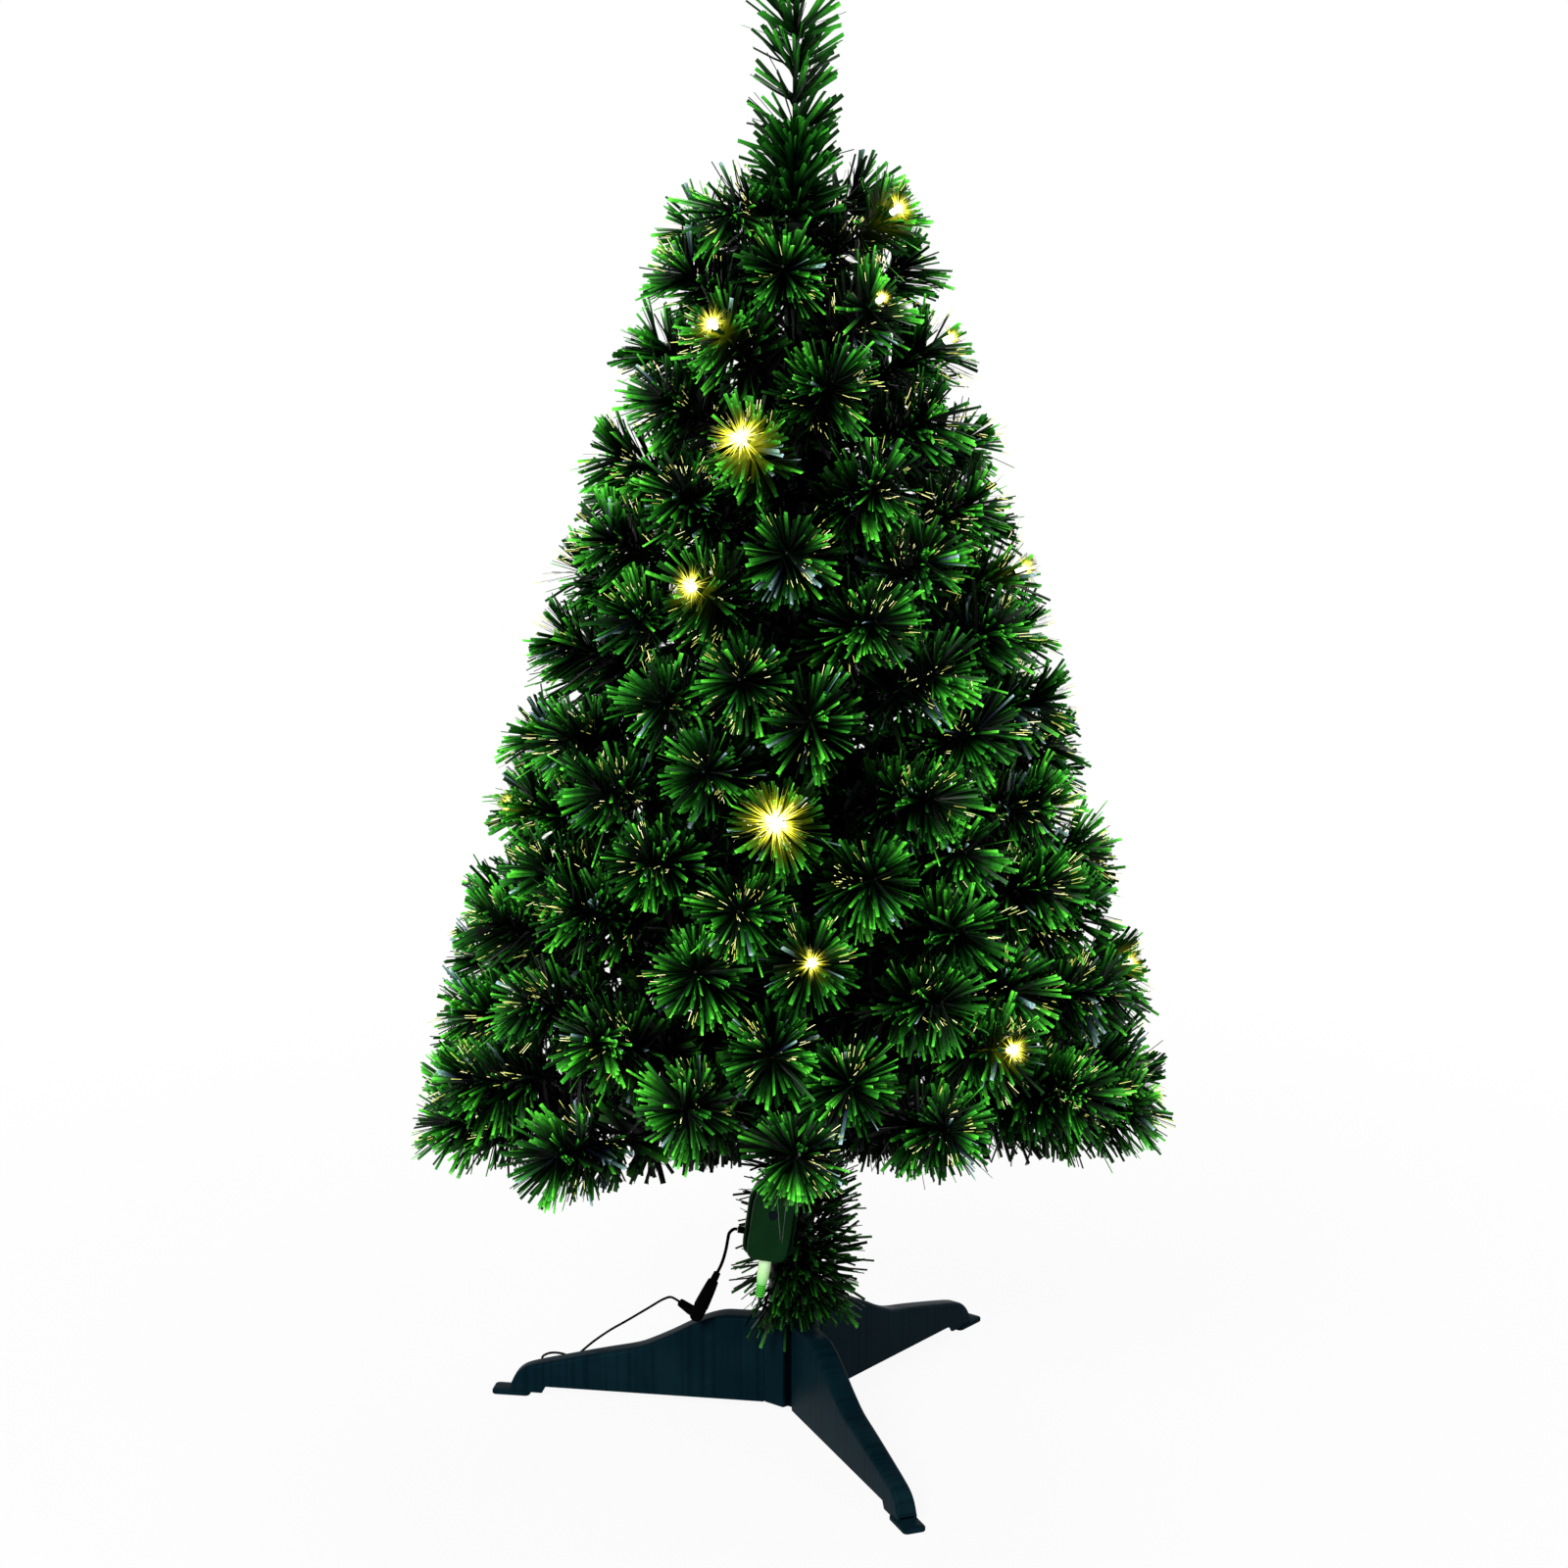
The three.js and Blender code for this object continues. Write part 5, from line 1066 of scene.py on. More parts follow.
inner_and_outer = case_rows(BACK_HALF, [(1.8, 8.2), (1.8, 0)] + edge_steps(0, 10, 1.8))
back = capped_grid(in_box_frame(np.array(inner_and_outer)))
ear_ring = rounded_line([[17.5, 3], [24.5, 3], [24.5, 10], [17.5, 10]], 1.5, 4, closed=True)
ear = capped_grid(in_box_frame(np.array([at_depth(ear_ring, y) for y in (4.5, 8.5)])))
clip_angle = np.radians(np.linspace(66.8 + 66, 66.8 + 294, 40))
clip_ring = np.stack([
    np.stack([r * np.cos(clip_angle), r * np.sin(clip_angle), np.full(40, z)], axis=1)
    for r, z in ((12.8, 158), (15.3, 158), (15.3, 178), (12.8, 178))
]) * MM
clip = capped_grid(np.swapaxes(clip_ring, 0, 1))
saddle = level_rings(np.array([
    [-16, -15.4], [-3.2, -15.4], [-3.2, -12.8], [-7, -11], [-10.5, -7.6], [-11.6, -6], [-16, -6],
]), (160, 184))
case_back = piece_from("case_back", *combined([back, ear, clip, saddle]), sharp=40)
placed(case_back, "tree", "light_box", "light_box_back")

front_rows = case_rows(FRONT_HALF, edge_steps(-0.3, -11.8, 2.4))
hole = [hole_ring(radius, y, front_rows[-1]) for radius, y in (
    (8, -11.95), (4.3, -11.95), (3.9, -11.7), (3.8, -11.3), (3.8, -10.0),
)]
inside = case_rows(FRONT_HALF, [(2.4, -10.0), (1.8, -9.4), (1.8, -0.3)])
loop = in_box_frame(np.array(front_rows + hole + inside))
case_front = piece_from(
    "case_front", loop, grid_faces(*loop.shape[:2], rows_closed=True), [], sharp=40,
)
placed(case_front, "tree", "light_box", "light_box_front")
print("points in the case:", len(case_back.data.vertices) + len(case_front.data.vertices))

# %% [markdown]
# The button, the connectors and the small bulbs are turned shapes. Their profiles list radius and
# distance along the axis, and rounding the profile's corners gives the soft edges of moulded
# parts. Grooves across the strain reliefs are cut into the profile itself.


# %% Turned parts
def turned_mesh(profile, start, direction, columns=40, round_by=0.3, steps=3):
    """A turned shape from (radius, distance) pairs in millimetres, with rounded corners."""
    line = rounded_line(profile, round_by, steps)
    return capped_grid(turned_grid(line * MM, start, direction, columns))


def turned_piece(name, profile, start, direction, body, slot, *nodes, columns=40, round_by=0.3):
    mesh = turned_mesh(profile, start, direction, columns, round_by)
    return placed(piece_from(name, *mesh, sharp=50), body, slot, *nodes)


def grooves(start, end, radius_start, radius_end, count, depth):
    """A tapered sleeve with evenly spaced grooves: pairs of ridge and groove along its length."""
    made = []
    pitch = (end - start) / count
    for i in range(count):
        ridge = radius_start + (radius_end - radius_start) * (i + 0.5) / count
        for radius, share in (
            (ridge, 0.02), (ridge, 0.6), (ridge - depth, 0.66), (ridge - depth, 0.96),
        ):
            made.append([radius, start + i * pitch + share * pitch])
    return made


button = turned_piece(
    "push_button",
    [[0.01, 0], [2, 0], [2, 5.7], [5, 5.7], [5, 6.9], [3.5, 6.9], [3.5, 9.2], [3.1, 9.4],
     [0.01, 9.25]],
    in_box_frame([0, -2.8, BUTTON_HEIGHT]), [0, -1, 0], "button", "pale_plastic", "mode_button",
)
PLUG_LENGTH, RINGS_FROM = 34, 0.66
string_plug = turned_piece(
    "string_plug_barrel",
    [[0.01, -9], [3.3, -9], [3.3, 0.3], [4.6, 0.3], [4.9, 6], [4.8, 17], [4.0, 22]]
    + grooves(22.3, PLUG_LENGTH, 4.1, 3.5, 6, 0.9) + [[1.2, 34.0], [0.01, 34.0]],
    in_box_frame([0, 0, 0]), -BOX_Z, "string_connector", "pale_plastic", "string_plug",
)
plug_points = np.empty(len(string_plug.data.vertices) * 3)
string_plug.data.vertices.foreach_get("co", plug_points)
from_top = plug_points.reshape(-1, 3) - in_box_frame([0, 0, 0])
plug_down = from_top @ -BOX_Z / (PLUG_LENGTH * MM)
plug_radius = np.linalg.norm(from_top + plug_down[:, None] * PLUG_LENGTH * MM * BOX_Z, axis=1)
# Painted shade: points in the bottoms of the ring grooves get the darkest colour of the plug's
# ramp.
groove_radius = (3.75 - 1.75 * (plug_down - RINGS_FROM)) * MM
in_shaded_groove = (plug_down > RINGS_FROM) & (plug_radius < groove_radius)
point_values(string_plug, reach=np.where(in_shaded_groove, 1.0, np.clip(0.9 * plug_down, 0, 0.9)))
inline_socket = turned_piece(
    "supply_socket",
    [[1.2, 0], [2.6, 0.2]] + grooves(0.3, 7, 2.8, 3.1, 4, 0.45)
    + [[4.4, 8.6], [5.2, 18], [5.9, 31.5], [5.9, 33], [3.05, 33], [3.05, 22], [0.01, 22]],
    SUPPLY_START, SUPPLY_DOWN, "tree", "black_plastic", "inline_socket",
)
plug_barrel = turned_piece(
    "power_plug_barrel", [[0.01, 24], [2.45, 24], [2.75, 24.4], [2.75, 33.0], [0.01, 33.0]],
    SUPPLY_START, SUPPLY_DOWN, "adapter_set", "bright_metal", "dc_plug_barrel", round_by=0.2,
)
plug_head = turned_mesh(
    [[0.01, 33.3], [5.6, 33.3], [5.6, 41.5], [5.0, 44.6], [3.0, 46.6], [0.01, 47.1]],
    SUPPLY_START, SUPPLY_DOWN, 40, 1.2, 5,
)
plug_arm = turned_mesh(
    [[0.01, 0], [4.6, 0.2], [4.0, 6.5]] + grooves(7, 19.6, 4.3, 3.3, 7, 1.2)
    + [[1.4, 20], [0.01, 20]],
    ELBOW, ARM, 32, 0.2, 2,
)
power_plug = piece_from("power_plug_body", *combined([plug_head, plug_arm]), sharp=50)
placed(power_plug, "adapter_set", "black_plastic", "dc_plug_body")

HOUSING_ROWS = [
    (2.0, 0), (0.9, 0.3), (0.25, 1), (0, 2), (0, 14.6), (0.5, 14.8), (0.5, 15.2), (0, 15.4),
    (0, 28), (0.25, 29), (0.9, 29.7), (2, 30), (8, 30), (8.3, 29.5), (9, 29.4),
]
housing_block = capped_grid(np.array([
    block_ring(34 - inset, 22 - inset, max(6.0 - inset, 1.5), z, 64) + [-62, 60, 0]
    for inset, z in HOUSING_ROWS
]) * MM)
relief = turned_mesh(
    [[0.01, -1], [3.8, -1], [3.8, 0.6]] + grooves(0.8, 6, 3.1, 2.4, 4, 0.6)
    + [[1.1, 6], [0.01, 6]],
    np.array([-96, 68, 16]) * MM, [-1, 0, 0], 32, 0.2, 2,
)
housing = piece_from("adapter_housing", *combined([housing_block, relief]), sharp=40)
placed(housing, "adapter_set", "black_plastic", "power_adapter")

BULB_SEAT = 16 - (0.3 + 2.6 * 6 / 19)
holders, lenses = [], []
for number, index in enumerate(BULB_BRANCHES, 1):
    axis, name = unit(branch_tip[index] - branch_root[index]), f"string_bulb_{number:02d}"
    start = branch_root[index] + (branch_length[index] - BULB_SEAT * MM) * axis
    holders.append(turned_piece(
        f"bulb_{number:02d}_holder",
        [[0.01, 0], [1.6, 0], [2.6, 0.6], [2.6, 8.8], [3.1, 9.2], [3.1, 10.2], [2.4, 10.4],
         [0.01, 10.4]],
        start, axis, "tree", "needles", name, columns=20,
    ))
    lenses.append(turned_piece(
        f"bulb_{number:02d}_lens",
        [[0.01, 10.1], [2.3, 10.1], [2.4, 13.5], [2.0, 16.6], [1.1, 17.8], [0.01, 18.0]],
        start, axis, "tree", "bulb", name, columns=20, round_by=0.8,
    ))
print("bulbs:", len(lenses))

# %% [markdown]
# Plastic is never one flat colour: the mould's grain, handling and dust change its tone and its
# gloss a little. One node group gives those changes to every plastic, each with its own scale and
# strength, so that the stand, the box and the connectors look related but not alike.

# %% Node group for moulded surfaces
mould = bpy.data.node_groups.new("moulded_surface", "ShaderNodeTree")
for name, kind, start_value in (
    ("Color", "NodeSocketColor", (0.1, 0.1, 0.1, 1)),
    ("Worn Color", "NodeSocketColor", (0.2, 0.2, 0.2, 1)),
    ("Roughness", "NodeSocketFloat", 0.4),
    ("Grain Scale", "NodeSocketFloat", 900.0),
    ("Stain Scale", "NodeSocketFloat", 30.0),
):
    entered = mould.interface.new_socket(name=name, in_out="INPUT", socket_type=kind)
    entered.default_value = start_value
for name, kind in (
    ("Color", "NodeSocketColor"), ("Roughness", "NodeSocketFloat"), ("Height", "NodeSocketFloat"),
):
    mould.interface.new_socket(name=name, in_out="OUTPUT", socket_type=kind)
nodes, links = mould.nodes, mould.links
entry, leave = nodes.new("NodeGroupInput"), nodes.new("NodeGroupOutput")
place = nodes.new("ShaderNodeTexCoord")
grain, stain = nodes.new("ShaderNodeTexNoise"), nodes.new("ShaderNodeTexNoise")
grain.inputs["Detail"].default_value = 3.0
stain.inputs["Detail"].default_value = 5.0
stain_ramp = nodes.new("ShaderNodeValToRGB")
stain_ramp.color_ramp.elements[0].position = 0.42
stain_ramp.color_ramp.elements[1].position = 0.78
blend = nodes.new("ShaderNodeMix")
blend.data_type = "RGBA"
rough = nodes.new("ShaderNodeMath")
rough.operation = "MULTIPLY_ADD"
rough.inputs[1].default_value = 0.16
for noise, scale in ((grain, "Grain Scale"), (stain, "Stain Scale")):
    links.new(place.outputs["Object"], noise.inputs["Vector"])
    links.new(entry.outputs[scale], noise.inputs["Scale"])
for output, entered in (
    (stain.outputs["Fac"], stain_ramp.inputs["Fac"]),
    (stain_ramp.outputs["Color"], blend.inputs["Factor"]),
    (entry.outputs["Color"], blend.inputs["A"]),
    (entry.outputs["Worn Color"], blend.inputs["B"]),
    (stain.outputs["Fac"], rough.inputs[0]),
    (entry.outputs["Roughness"], rough.inputs[2]),
    (blend.outputs["Result"], leave.inputs["Color"]),
    (rough.outputs["Value"], leave.inputs["Roughness"]),
    (grain.outputs["Fac"], leave.inputs["Height"]),
):
    links.new(output, entered)
print("sockets of the group:", len(mould.interface.items_tree))


def new_material(name):
    made = bpy.data.materials.new(name)
    made.use_nodes = True
    return made, made.node_tree.nodes, made.node_tree.links, made.node_tree.nodes["Principled BSDF"]


def set_inputs(node, values):
    """Sets the plain values of a node's own inputs, by their names."""
    for name, value in values.items():
        node.inputs[name].default_value = value


def moulded(name, colour, worn, roughness, grain_scale, stain_scale, bump, specular=0.3):
    """A plastic with the group's changes. Its mean roughness is the one given."""
    made, nodes, links, shader = new_material(name)
    surface = nodes.new("ShaderNodeGroup")
    surface.node_tree = mould
    set_inputs(surface, {
        "Color": (*colour, 1), "Worn Color": (*worn, 1), "Roughness": roughness - 0.08,
        "Grain Scale": grain_scale, "Stain Scale": stain_scale,
    })
    relief = nodes.new("ShaderNodeBump")
    set_inputs(relief, {"Strength": bump, "Distance": 0.0004})
    links.new(surface.outputs["Color"], shader.inputs["Base Color"])
    links.new(surface.outputs["Roughness"], shader.inputs["Roughness"])
    links.new(surface.outputs["Height"], relief.inputs["Height"])
    links.new(relief.outputs["Normal"], shader.inputs["Normal"])
    set_inputs(shader, {"Specular IOR Level": specular})
    return made


# %% [markdown]
# A needle's colour holds painted shade and light. It is painted dark where it leaves the wire and
# bright at its cut end, and darker deep in the tree. Its tone differs at random, but the bright
# tones are a painted highlight, and a few needles are painted grey-blue as a reflection of shining
# film. The points carry four numbers for this: how far along its needle a point lies, a tone for
# each needle, how far out of the tree it is, and the bulbs' painted light on it.


# %% Needle film
def ramp(nodes, stops):
    made = nodes.new("ShaderNodeValToRGB")
    elements = made.color_ramp.elements
    while len(elements) < len(stops):
        elements.new(0.5)
    for element, (at, colour) in zip(elements, stops):
        element.position = at
        element.color = (*colour, 1)
    return made


def by_number(nodes, links, value, stops):
    """The colours of a ramp that follows one of the points' numbers."""
    source, colours = nodes.new("ShaderNodeAttribute"), ramp(nodes, stops)
    source.attribute_name = value
    links.new(source.outputs["Fac"], colours.inputs["Fac"])
    return colours.outputs["Color"]


def by_noise(nodes, links, scale, stops):
    """The colours of a ramp over fine noise in the piece's own coordinates."""
    place, noise = nodes.new("ShaderNodeTexCoord"), nodes.new("ShaderNodeTexNoise")
    shades = ramp(nodes, stops)
    set_inputs(noise, {"Scale": scale, "Detail": 2.0})
    links.new(place.outputs["Object"], noise.inputs["Vector"])
    links.new(noise.outputs["Fac"], shades.inputs["Fac"])
    return shades.outputs["Color"]


def multiplied(nodes, links, *colours):
    """The product of two or more colours."""
    product = colours[0]
    for colour in colours[1:]:
        made = nodes.new("ShaderNodeMix")
        made.data_type = "RGBA"
        made.blend_type = "MULTIPLY"
        set_inputs(made, {"Factor": 1.0})
        links.new(product, made.inputs["A"])
        links.new(colour, made.inputs["B"])
        product = made.outputs["Result"]
    return product


# Painted shade and highlight: near black at a needle's foot, bright green at its cut end.
FILM_LENGTH_SHADE_AND_HIGHLIGHT = [
    (0.0, (0.0005, 0.003, 0.001)), (0.42, (0.001, 0.010, 0.002)), (0.7, (0.010, 0.115, 0.010)),
    (0.92, (0.040, 0.45, 0.027)), (1.0, (0.095, 0.78, 0.07)),
]
# The tone differs at random. Above 0.68 it is a painted highlight, and at 1 the painted grey-blue
# reflection of the sheen needles.
FILM_TONE_AND_SHEEN = [
    (0.0, (0.03, 0.04, 0.06)), (0.4, (0.2, 0.2, 0.24)), (0.68, (0.98, 0.9, 0.9)),
    (0.94, (2.7, 1.8, 1.5)), (1.0, (6.5, 1.1, 15.0)),
]
# Painted shade: the film darkens towards the inside of the tree.
FILM_DEPTH_SHADE = [(0.4, (0.02, 0.03, 0.03)), (0.76, (0.13, 0.13, 0.14)), (0.98, (1, 1, 1))]
FILM_STREAK = [(0.3, (0.72, 0.72, 0.72)), (0.7, (1.2, 1.2, 1.2))]
# Painted light: the bulbs' yellow light on the film near them, given as emission.
FILM_LIGHT = [
    (0.0, (0, 0, 0)), (0.12, (0.003, 0.006, 0.0)), (0.45, (0.055, 0.068, 0.001)),
    (0.8, (0.42, 0.42, 0.015)), (1.0, (1.0, 0.95, 0.35)),
]


def needle_film():
    """Base colour = length * tone * streak * depth. The length ramp is painted shade at a needle's
    foot and a painted highlight at its cut end, and the depth ramp is painted shade deep in the
    tree. The high tones are a painted highlight, and the highest are the few needles painted
    grey-blue, a painted reflection. Near a bulb the film carries its yellow light, painted in as
    emission."""
    made, nodes, links, shader = new_material("needle_film")
    green = multiplied(
        nodes, links, by_number(nodes, links, "along", FILM_LENGTH_SHADE_AND_HIGHLIGHT),
        by_number(nodes, links, "tone", FILM_TONE_AND_SHEEN), by_noise(nodes, links, 420.0, FILM_STREAK),
        by_number(nodes, links, "outer", FILM_DEPTH_SHADE),
    )
    links.new(green, shader.inputs["Base Color"])
    links.new(by_number(nodes, links, "glow", FILM_LIGHT), shader.inputs["Emission Color"])
    set_inputs(shader, {
        "Emission Strength": 1.2, "Roughness": 0.36, "Specular IOR Level": 0.08,
    })
    return made


def lit_by(name, value, stops, strength, roughness):
    """A lit surface whose colour follows one of the points' numbers, with a faint mottle in it."""
    made, nodes, links, shader = new_material(name)
    mottle = by_noise(nodes, links, 900.0, [(0.3, (0.85, 0.82, 0.75)), (0.7, (1, 1, 1))])
    lit = multiplied(nodes, links, by_number(nodes, links, value, stops), mottle)
    links.new(lit, shader.inputs["Base Color"])
    links.new(lit, shader.inputs["Emission Color"])
    set_inputs(shader, {"Emission Strength": strength, "Roughness": roughness})
    return made


film = needle_film()
fibre_glow = lit_by("fibre_glow", "tone", [
    (0.0, (0.17, 0.18, 0.03)), (0.5, (0.62, 0.66, 0.15)), (1.0, (1, 1, 0.6)),
], 1.7, 0.2)
bulb_glow = lit_by("bulb_glow", "tone", [
    (0.0, (1.0, 0.92, 0.66)), (1.0, (1.0, 0.92, 0.66)),
], 5.0, 0.15)
# Painted light: the bulbs' glare, white at the lens and dark green at the hairs' ends.
bulb_glare_glow = lit_by("bulb_glare_glow", "glow", [
    (0.0, (0.012, 0.026, 0.0)), (0.25, (0.16, 0.155, 0.002)), (0.45, (0.75, 0.71, 0.025)),
    (0.62, (1.0, 0.97, 0.34)), (0.8, (1.0, 0.99, 0.82)),
], 1.5, 0.3)
print("materials:", [made.name for made in bpy.data.materials if made.name.endswith("_glow")])

# %% [markdown]
# The plastics differ in colour, gloss and grain. Two of them need something more: the string plug
# goes from pale to bright green, with painted shade that darkens the bottoms of its ring grooves,
# and carries a little painted light as emission, and the metals are metallic.

# %% Plastics and metals
PLASTICS = {
    # colour, worn colour, roughness, grain scale, stain scale, bump, specular if it isn't 0.3
    "clear_polymer": ((0.32, 0.38, 0.32), (0.42, 0.46, 0.40), 0.25, 1500, 120, 0.03),
    "dim_polymer": ((0.008, 0.02, 0.009), (0.015, 0.035, 0.015), 0.3, 1500, 120, 0.03, 0.05),
    "stand_plastic": (
        (0.002, 0.0105, 0.0165), (0.004, 0.017, 0.0235), 0.36, 700, 26, 0.08, 0.012),
    "case_plastic": ((0.0025, 0.027, 0.006), (0.005, 0.038, 0.010), 0.38, 900, 60, 0.05, 0.04),
    "black_plastic": (
        (0.0006, 0.0006, 0.0008), (0.0016, 0.0016, 0.0019), 0.42, 1200, 70, 0.06, 0.006),
    "button_plastic": ((0.002, 0.004, 0.010), (0.005, 0.008, 0.016), 0.35, 1200, 70, 0.04, 0.04),
    "cord_jacket": (
        (0.0006, 0.0006, 0.0006), (0.0018, 0.0018, 0.0018), 0.5, 1500, 60, 0.05, 0.005),
    "green_jacket": ((0.006, 0.05, 0.012), (0.01, 0.07, 0.02), 0.4, 1500, 60, 0.05),
    "plug_plastic": ((0.62, 0.85, 0.48), (0.7, 0.9, 0.6), 0.32, 900, 60, 0.03),
    "trunk_paint": ((0.01, 0.024, 0.014), (0.02, 0.04, 0.026), 0.45, 600, 30, 0.06),
    "board_resin": ((0.012, 0.10, 0.04), (0.02, 0.13, 0.06), 0.5, 900, 60, 0.04),
    "plated_metal": ((0.6, 0.6, 0.62), (0.48, 0.47, 0.45), 0.28, 1800, 150, 0.03, 0.5),
    "pin_brass": ((0.6, 0.42, 0.14), (0.5, 0.33, 0.10), 0.32, 1800, 150, 0.03, 0.5),
}
looks = {name: moulded(name, *facts) for name, facts in PLASTICS.items()}


def shader_of(name):
    return looks[name].node_tree.nodes["Principled BSDF"]


set_inputs(shader_of("clear_polymer"), {"Transmission Weight": 0.4})
for name in ("plated_metal", "pin_brass"):
    set_inputs(shader_of(name), {"Metallic": 1.0})
nodes, links = looks["plug_plastic"].node_tree.nodes, looks["plug_plastic"].node_tree.links
# The last stop is painted shade for the groove bottoms.
plug_colour = by_number(nodes, links, "reach", [
    (0.0, (0.66, 0.92, 0.56)), (0.3, (0.55, 0.88, 0.42)), (0.56, (0.28, 0.70, 0.22)),
    (0.62, (0.08, 0.60, 0.035)), (0.9, (0.06, 0.52, 0.03)), (0.96, (0.006, 0.11, 0.006)),
])
for name in ("Base Color", "Emission Color"):
    links.new(plug_colour, shader_of("plug_plastic").inputs[name])
# Painted light: the plug glows faintly in its own colour.
set_inputs(shader_of("plug_plastic"), {"Emission Strength": 0.35})
print("plastics and metals:", len(looks))

# %% [markdown]
# The legs' thin walls shrink over the ribs and flow lines when they cool. Those faint upright
# lines run across each leg, so they follow the points' distance from the hub and nothing else.
# The hub's grooves are in deep shade, which is painted into their colour.

# %% Flow lines on the legs and painted shade in the hub's grooves
nodes, links = looks["stand_plastic"].node_tree.nodes, looks["stand_plastic"].node_tree.links
source, lines = nodes.new("ShaderNodeAttribute"), nodes.new("ShaderNodeTexNoise")
source.attribute_name = "reach"
lines.noise_dimensions = "1D"
set_inputs(lines, {"Scale": 46.0, "Detail": 4.0})
shades = ramp(nodes, [(0.34, (0.72, 0.76, 0.8)), (0.48, (1, 1, 1)), (0.62, (1.08, 1.07, 1.06))])
links.new(source.outputs["Fac"], lines.inputs["W"])
links.new(lines.outputs["Fac"], shades.inputs["Fac"])
surface = next(node for node in nodes if node.type == "GROUP")
# Painted shade in the hub's grooves: the colour falls to 0.12 of itself where the number is 1.
shut = by_number(nodes, links, "shut", [(0.0, (1, 1, 1)), (1.0, (0.12, 0.12, 0.14))])
lined = multiplied(nodes, links, surface.outputs["Color"], shades.outputs["Color"], shut)
links.new(lined, shader_of("stand_plastic").inputs["Base Color"])
set_inputs(shader_of("stand_plastic"), {"Specular Tint": (0.45, 0.85, 1.0, 1)})
print("nodes in the stand's plastic:", len(nodes))

# %% [markdown]
# Every made piece now gets its one material. The solids that stay as they are get theirs through
# their material slots.

# %% Materials given to the pieces
for material, pieces in (
    (film, tier_pieces + [leader, garland]), (fibre_glow, [lit_fibres]), (bulb_glare_glow, [glare_hairs]),
    (bulb_glow, lenses), (looks["dim_polymer"], [clear_fibres]),
    (looks["clear_polymer"], [stray_fibres]), (looks["stand_plastic"], stand_pieces),
    (looks["case_plastic"], [case_back, case_front]), (looks["button_plastic"], [button]),
    (looks["plug_plastic"], [string_plug]), (looks["plated_metal"], [plug_barrel]),
    (looks["black_plastic"], [inline_socket, power_plug, housing]),
    (looks["green_jacket"], holders + [string_cord]),
    (looks["cord_jacket"], [supply_cord, adapter_cord]),
):
    for piece in pieces:
        piece.data.materials.clear()
        piece.data.materials.append(material)

for look, names in {
    "trunk_paint": ["trunk_lower", "trunk_upper"],
    "black_plastic": ["trunk_bush", "tact_switch", "string_socket", "supply_gland", "coil_tie"],
    "board_resin": ["circuit_board"],
    "clear_polymer": ["lamp_led", "fibre_bundle"],
    "plated_metal": ["fibre_ferrule"],
    "pin_brass": ["adapter_pin_left", "adapter_pin_right"],
}.items():
    for name in names:
        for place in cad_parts[name].material_slots:
            place.material = looks[look]
    print(look, "on", len(names), "solids")

# %% [markdown]
# The cords ride on their bodies, and their lengths are printed. What lies on each cord is named
# with it.

# %% Cords on their bodies
placed(supply_cord, "tree", "black_cord", "supply_lead")
placed(string_cord, "string_connector", "string_lead", "string_lead")
placed(adapter_cord, "adapter_set", "black_cord", "adapter_lead", "adapter_coil", "coil_tail")
print("cords, in metres:", [round(v, 3) for v in (supply_length, string_length, adapter_length)])

# %% [markdown]
# The studio is a white floor that runs into a white background, one broad key light from the
# upper left, a weaker one from the right and a strip from above and behind that edges the tree.


# %% Floor, background and lights
def seen_by_eye(nodes, links, ray):
    """1 for rays of the camera, of a glossy surface or of a clear one, and 0 for the others."""
    total = ray.outputs["Is Camera Ray"]
    for kind in ("Is Glossy Ray", "Is Transmission Ray"):
        larger = nodes.new("ShaderNodeMath")
        larger.operation = "MAXIMUM"
        links.new(total, larger.inputs[0])
        links.new(ray.outputs[kind], larger.inputs[1])
        total = larger.outputs["Value"]
    return total


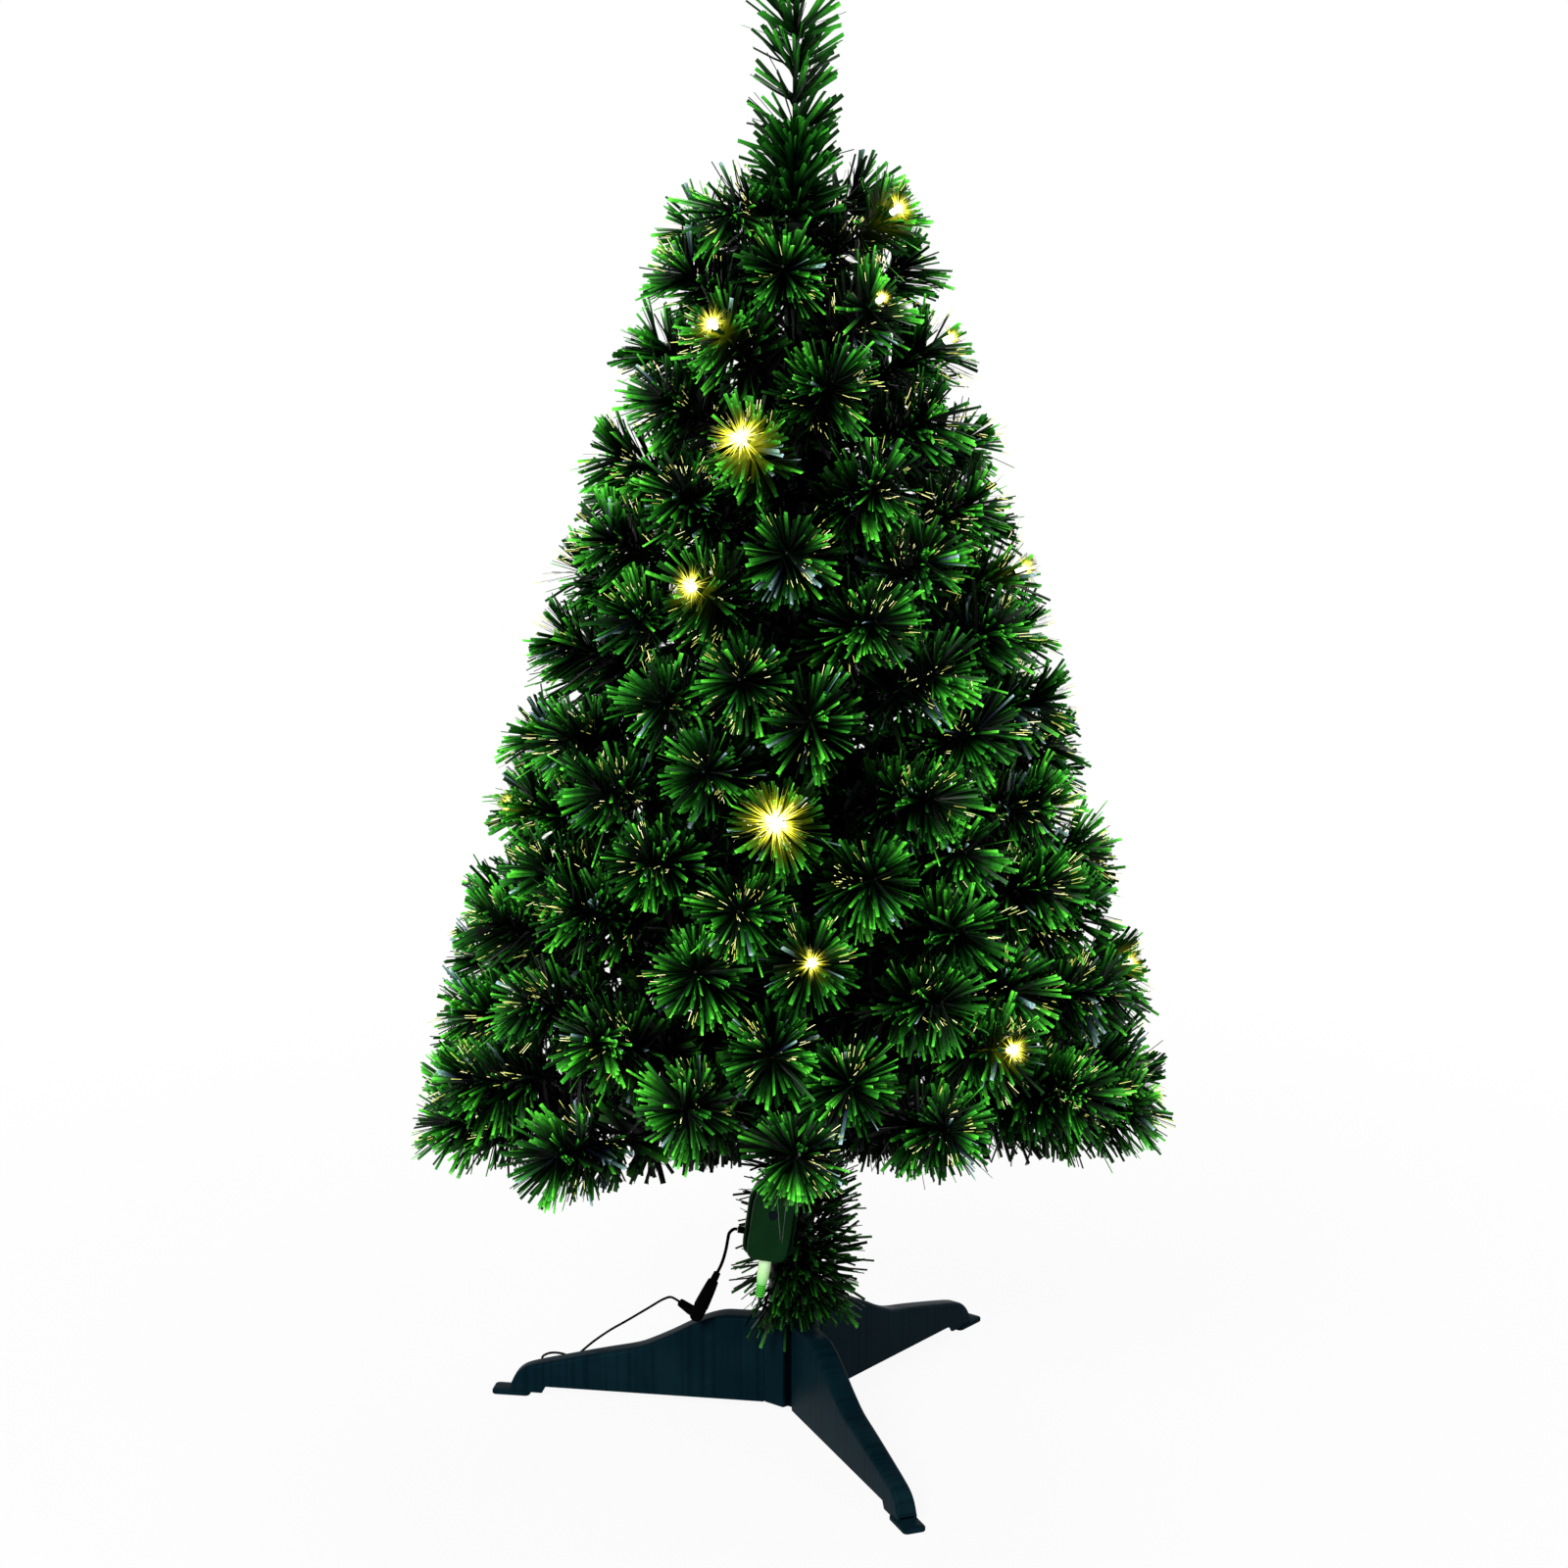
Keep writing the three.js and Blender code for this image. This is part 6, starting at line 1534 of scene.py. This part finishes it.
size = 12.0
corners = [[-size, -size, 0], [size, -size, 0], [size, size, 0], [-size, size, 0]]
floor = piece_from("floor", corners, [[0, 1, 2, 3]], [])
floor_material, nodes, links, shader = new_material("floor_white")
set_inputs(shader, {"Base Color": (0.7, 0.7, 0.7, 1), "Roughness": 0.9})
ray, flat_white = nodes.new("ShaderNodeLightPath"), nodes.new("ShaderNodeEmission")
mix, place = nodes.new("ShaderNodeMixShader"), nodes.new("ShaderNodeTexCoord")
far, share = nodes.new("ShaderNodeVectorMath"), nodes.new("ShaderNodeMath")
far.operation, share.operation = "LENGTH", "MULTIPLY"
whiter = nodes.new("ShaderNodeMapRange")
set_inputs(whiter, {"From Min": 0.35, "From Max": 1.3, "To Min": 0.93, "To Max": 1.0})
for output, entered in (
    (place.outputs["Object"], far.inputs[0]),
    (far.outputs["Value"], whiter.inputs["Value"]),
    (seen_by_eye(nodes, links, ray), share.inputs[0]),
    (whiter.outputs["Result"], share.inputs[1]),
    (share.outputs["Value"], mix.inputs["Fac"]),
    (shader.outputs["BSDF"], mix.inputs[1]),
    (flat_white.outputs["Emission"], mix.inputs[2]),
    (mix.outputs["Shader"], nodes["Material Output"].inputs["Surface"]),
):
    links.new(output, entered)
floor.data.materials.append(floor_material)

world = bpy.data.worlds.new("studio")
bpy.context.scene.world = world
world.use_nodes = True
nodes, links = world.node_tree.nodes, world.node_tree.links
background, strength = nodes["Background"], nodes.new("ShaderNodeMapRange")
set_inputs(strength, {"To Min": 0.25, "To Max": 1.0})
links.new(seen_by_eye(nodes, links, nodes.new("ShaderNodeLightPath")), strength.inputs["Value"])
links.new(strength.outputs["Result"], background.inputs["Strength"])
set_inputs(background, {"Color": (1, 1, 1, 1)})


def lamp(name, place, aim, width, power):
    """A square area lamp at a place, turned to look at a point."""
    data = bpy.data.lights.new(name, "AREA")
    data.size = width
    data.energy = power
    made = bpy.data.objects.new(name, data)
    made.location = place
    away = unit(np.array(place) - np.array(aim))
    yaw = math.atan2(away[1], away[0]) + math.pi / 2
    made.rotation_euler = (math.acos(away[2]), 0.0, yaw)
    bpy.context.collection.objects.link(made)


lamp("key", (-1.5, -3.0, 2.5), (0, 0, 0.6), 1.3, 135)
lamp("fill", (2.6, -1.8, 1.4), (0, 0, 0.5), 1.8, 17)
lamp("top_back", (0.6, 1.8, 3.0), (0, 0, 0.8), 1.4, 45)
print("lamps:", len(bpy.data.lights))

# %% [markdown]
# At the end the box of the solids is printed.

# %% Sizes and finish
print("cad box", [np.round(c, 3).tolist() for c in cad_box])
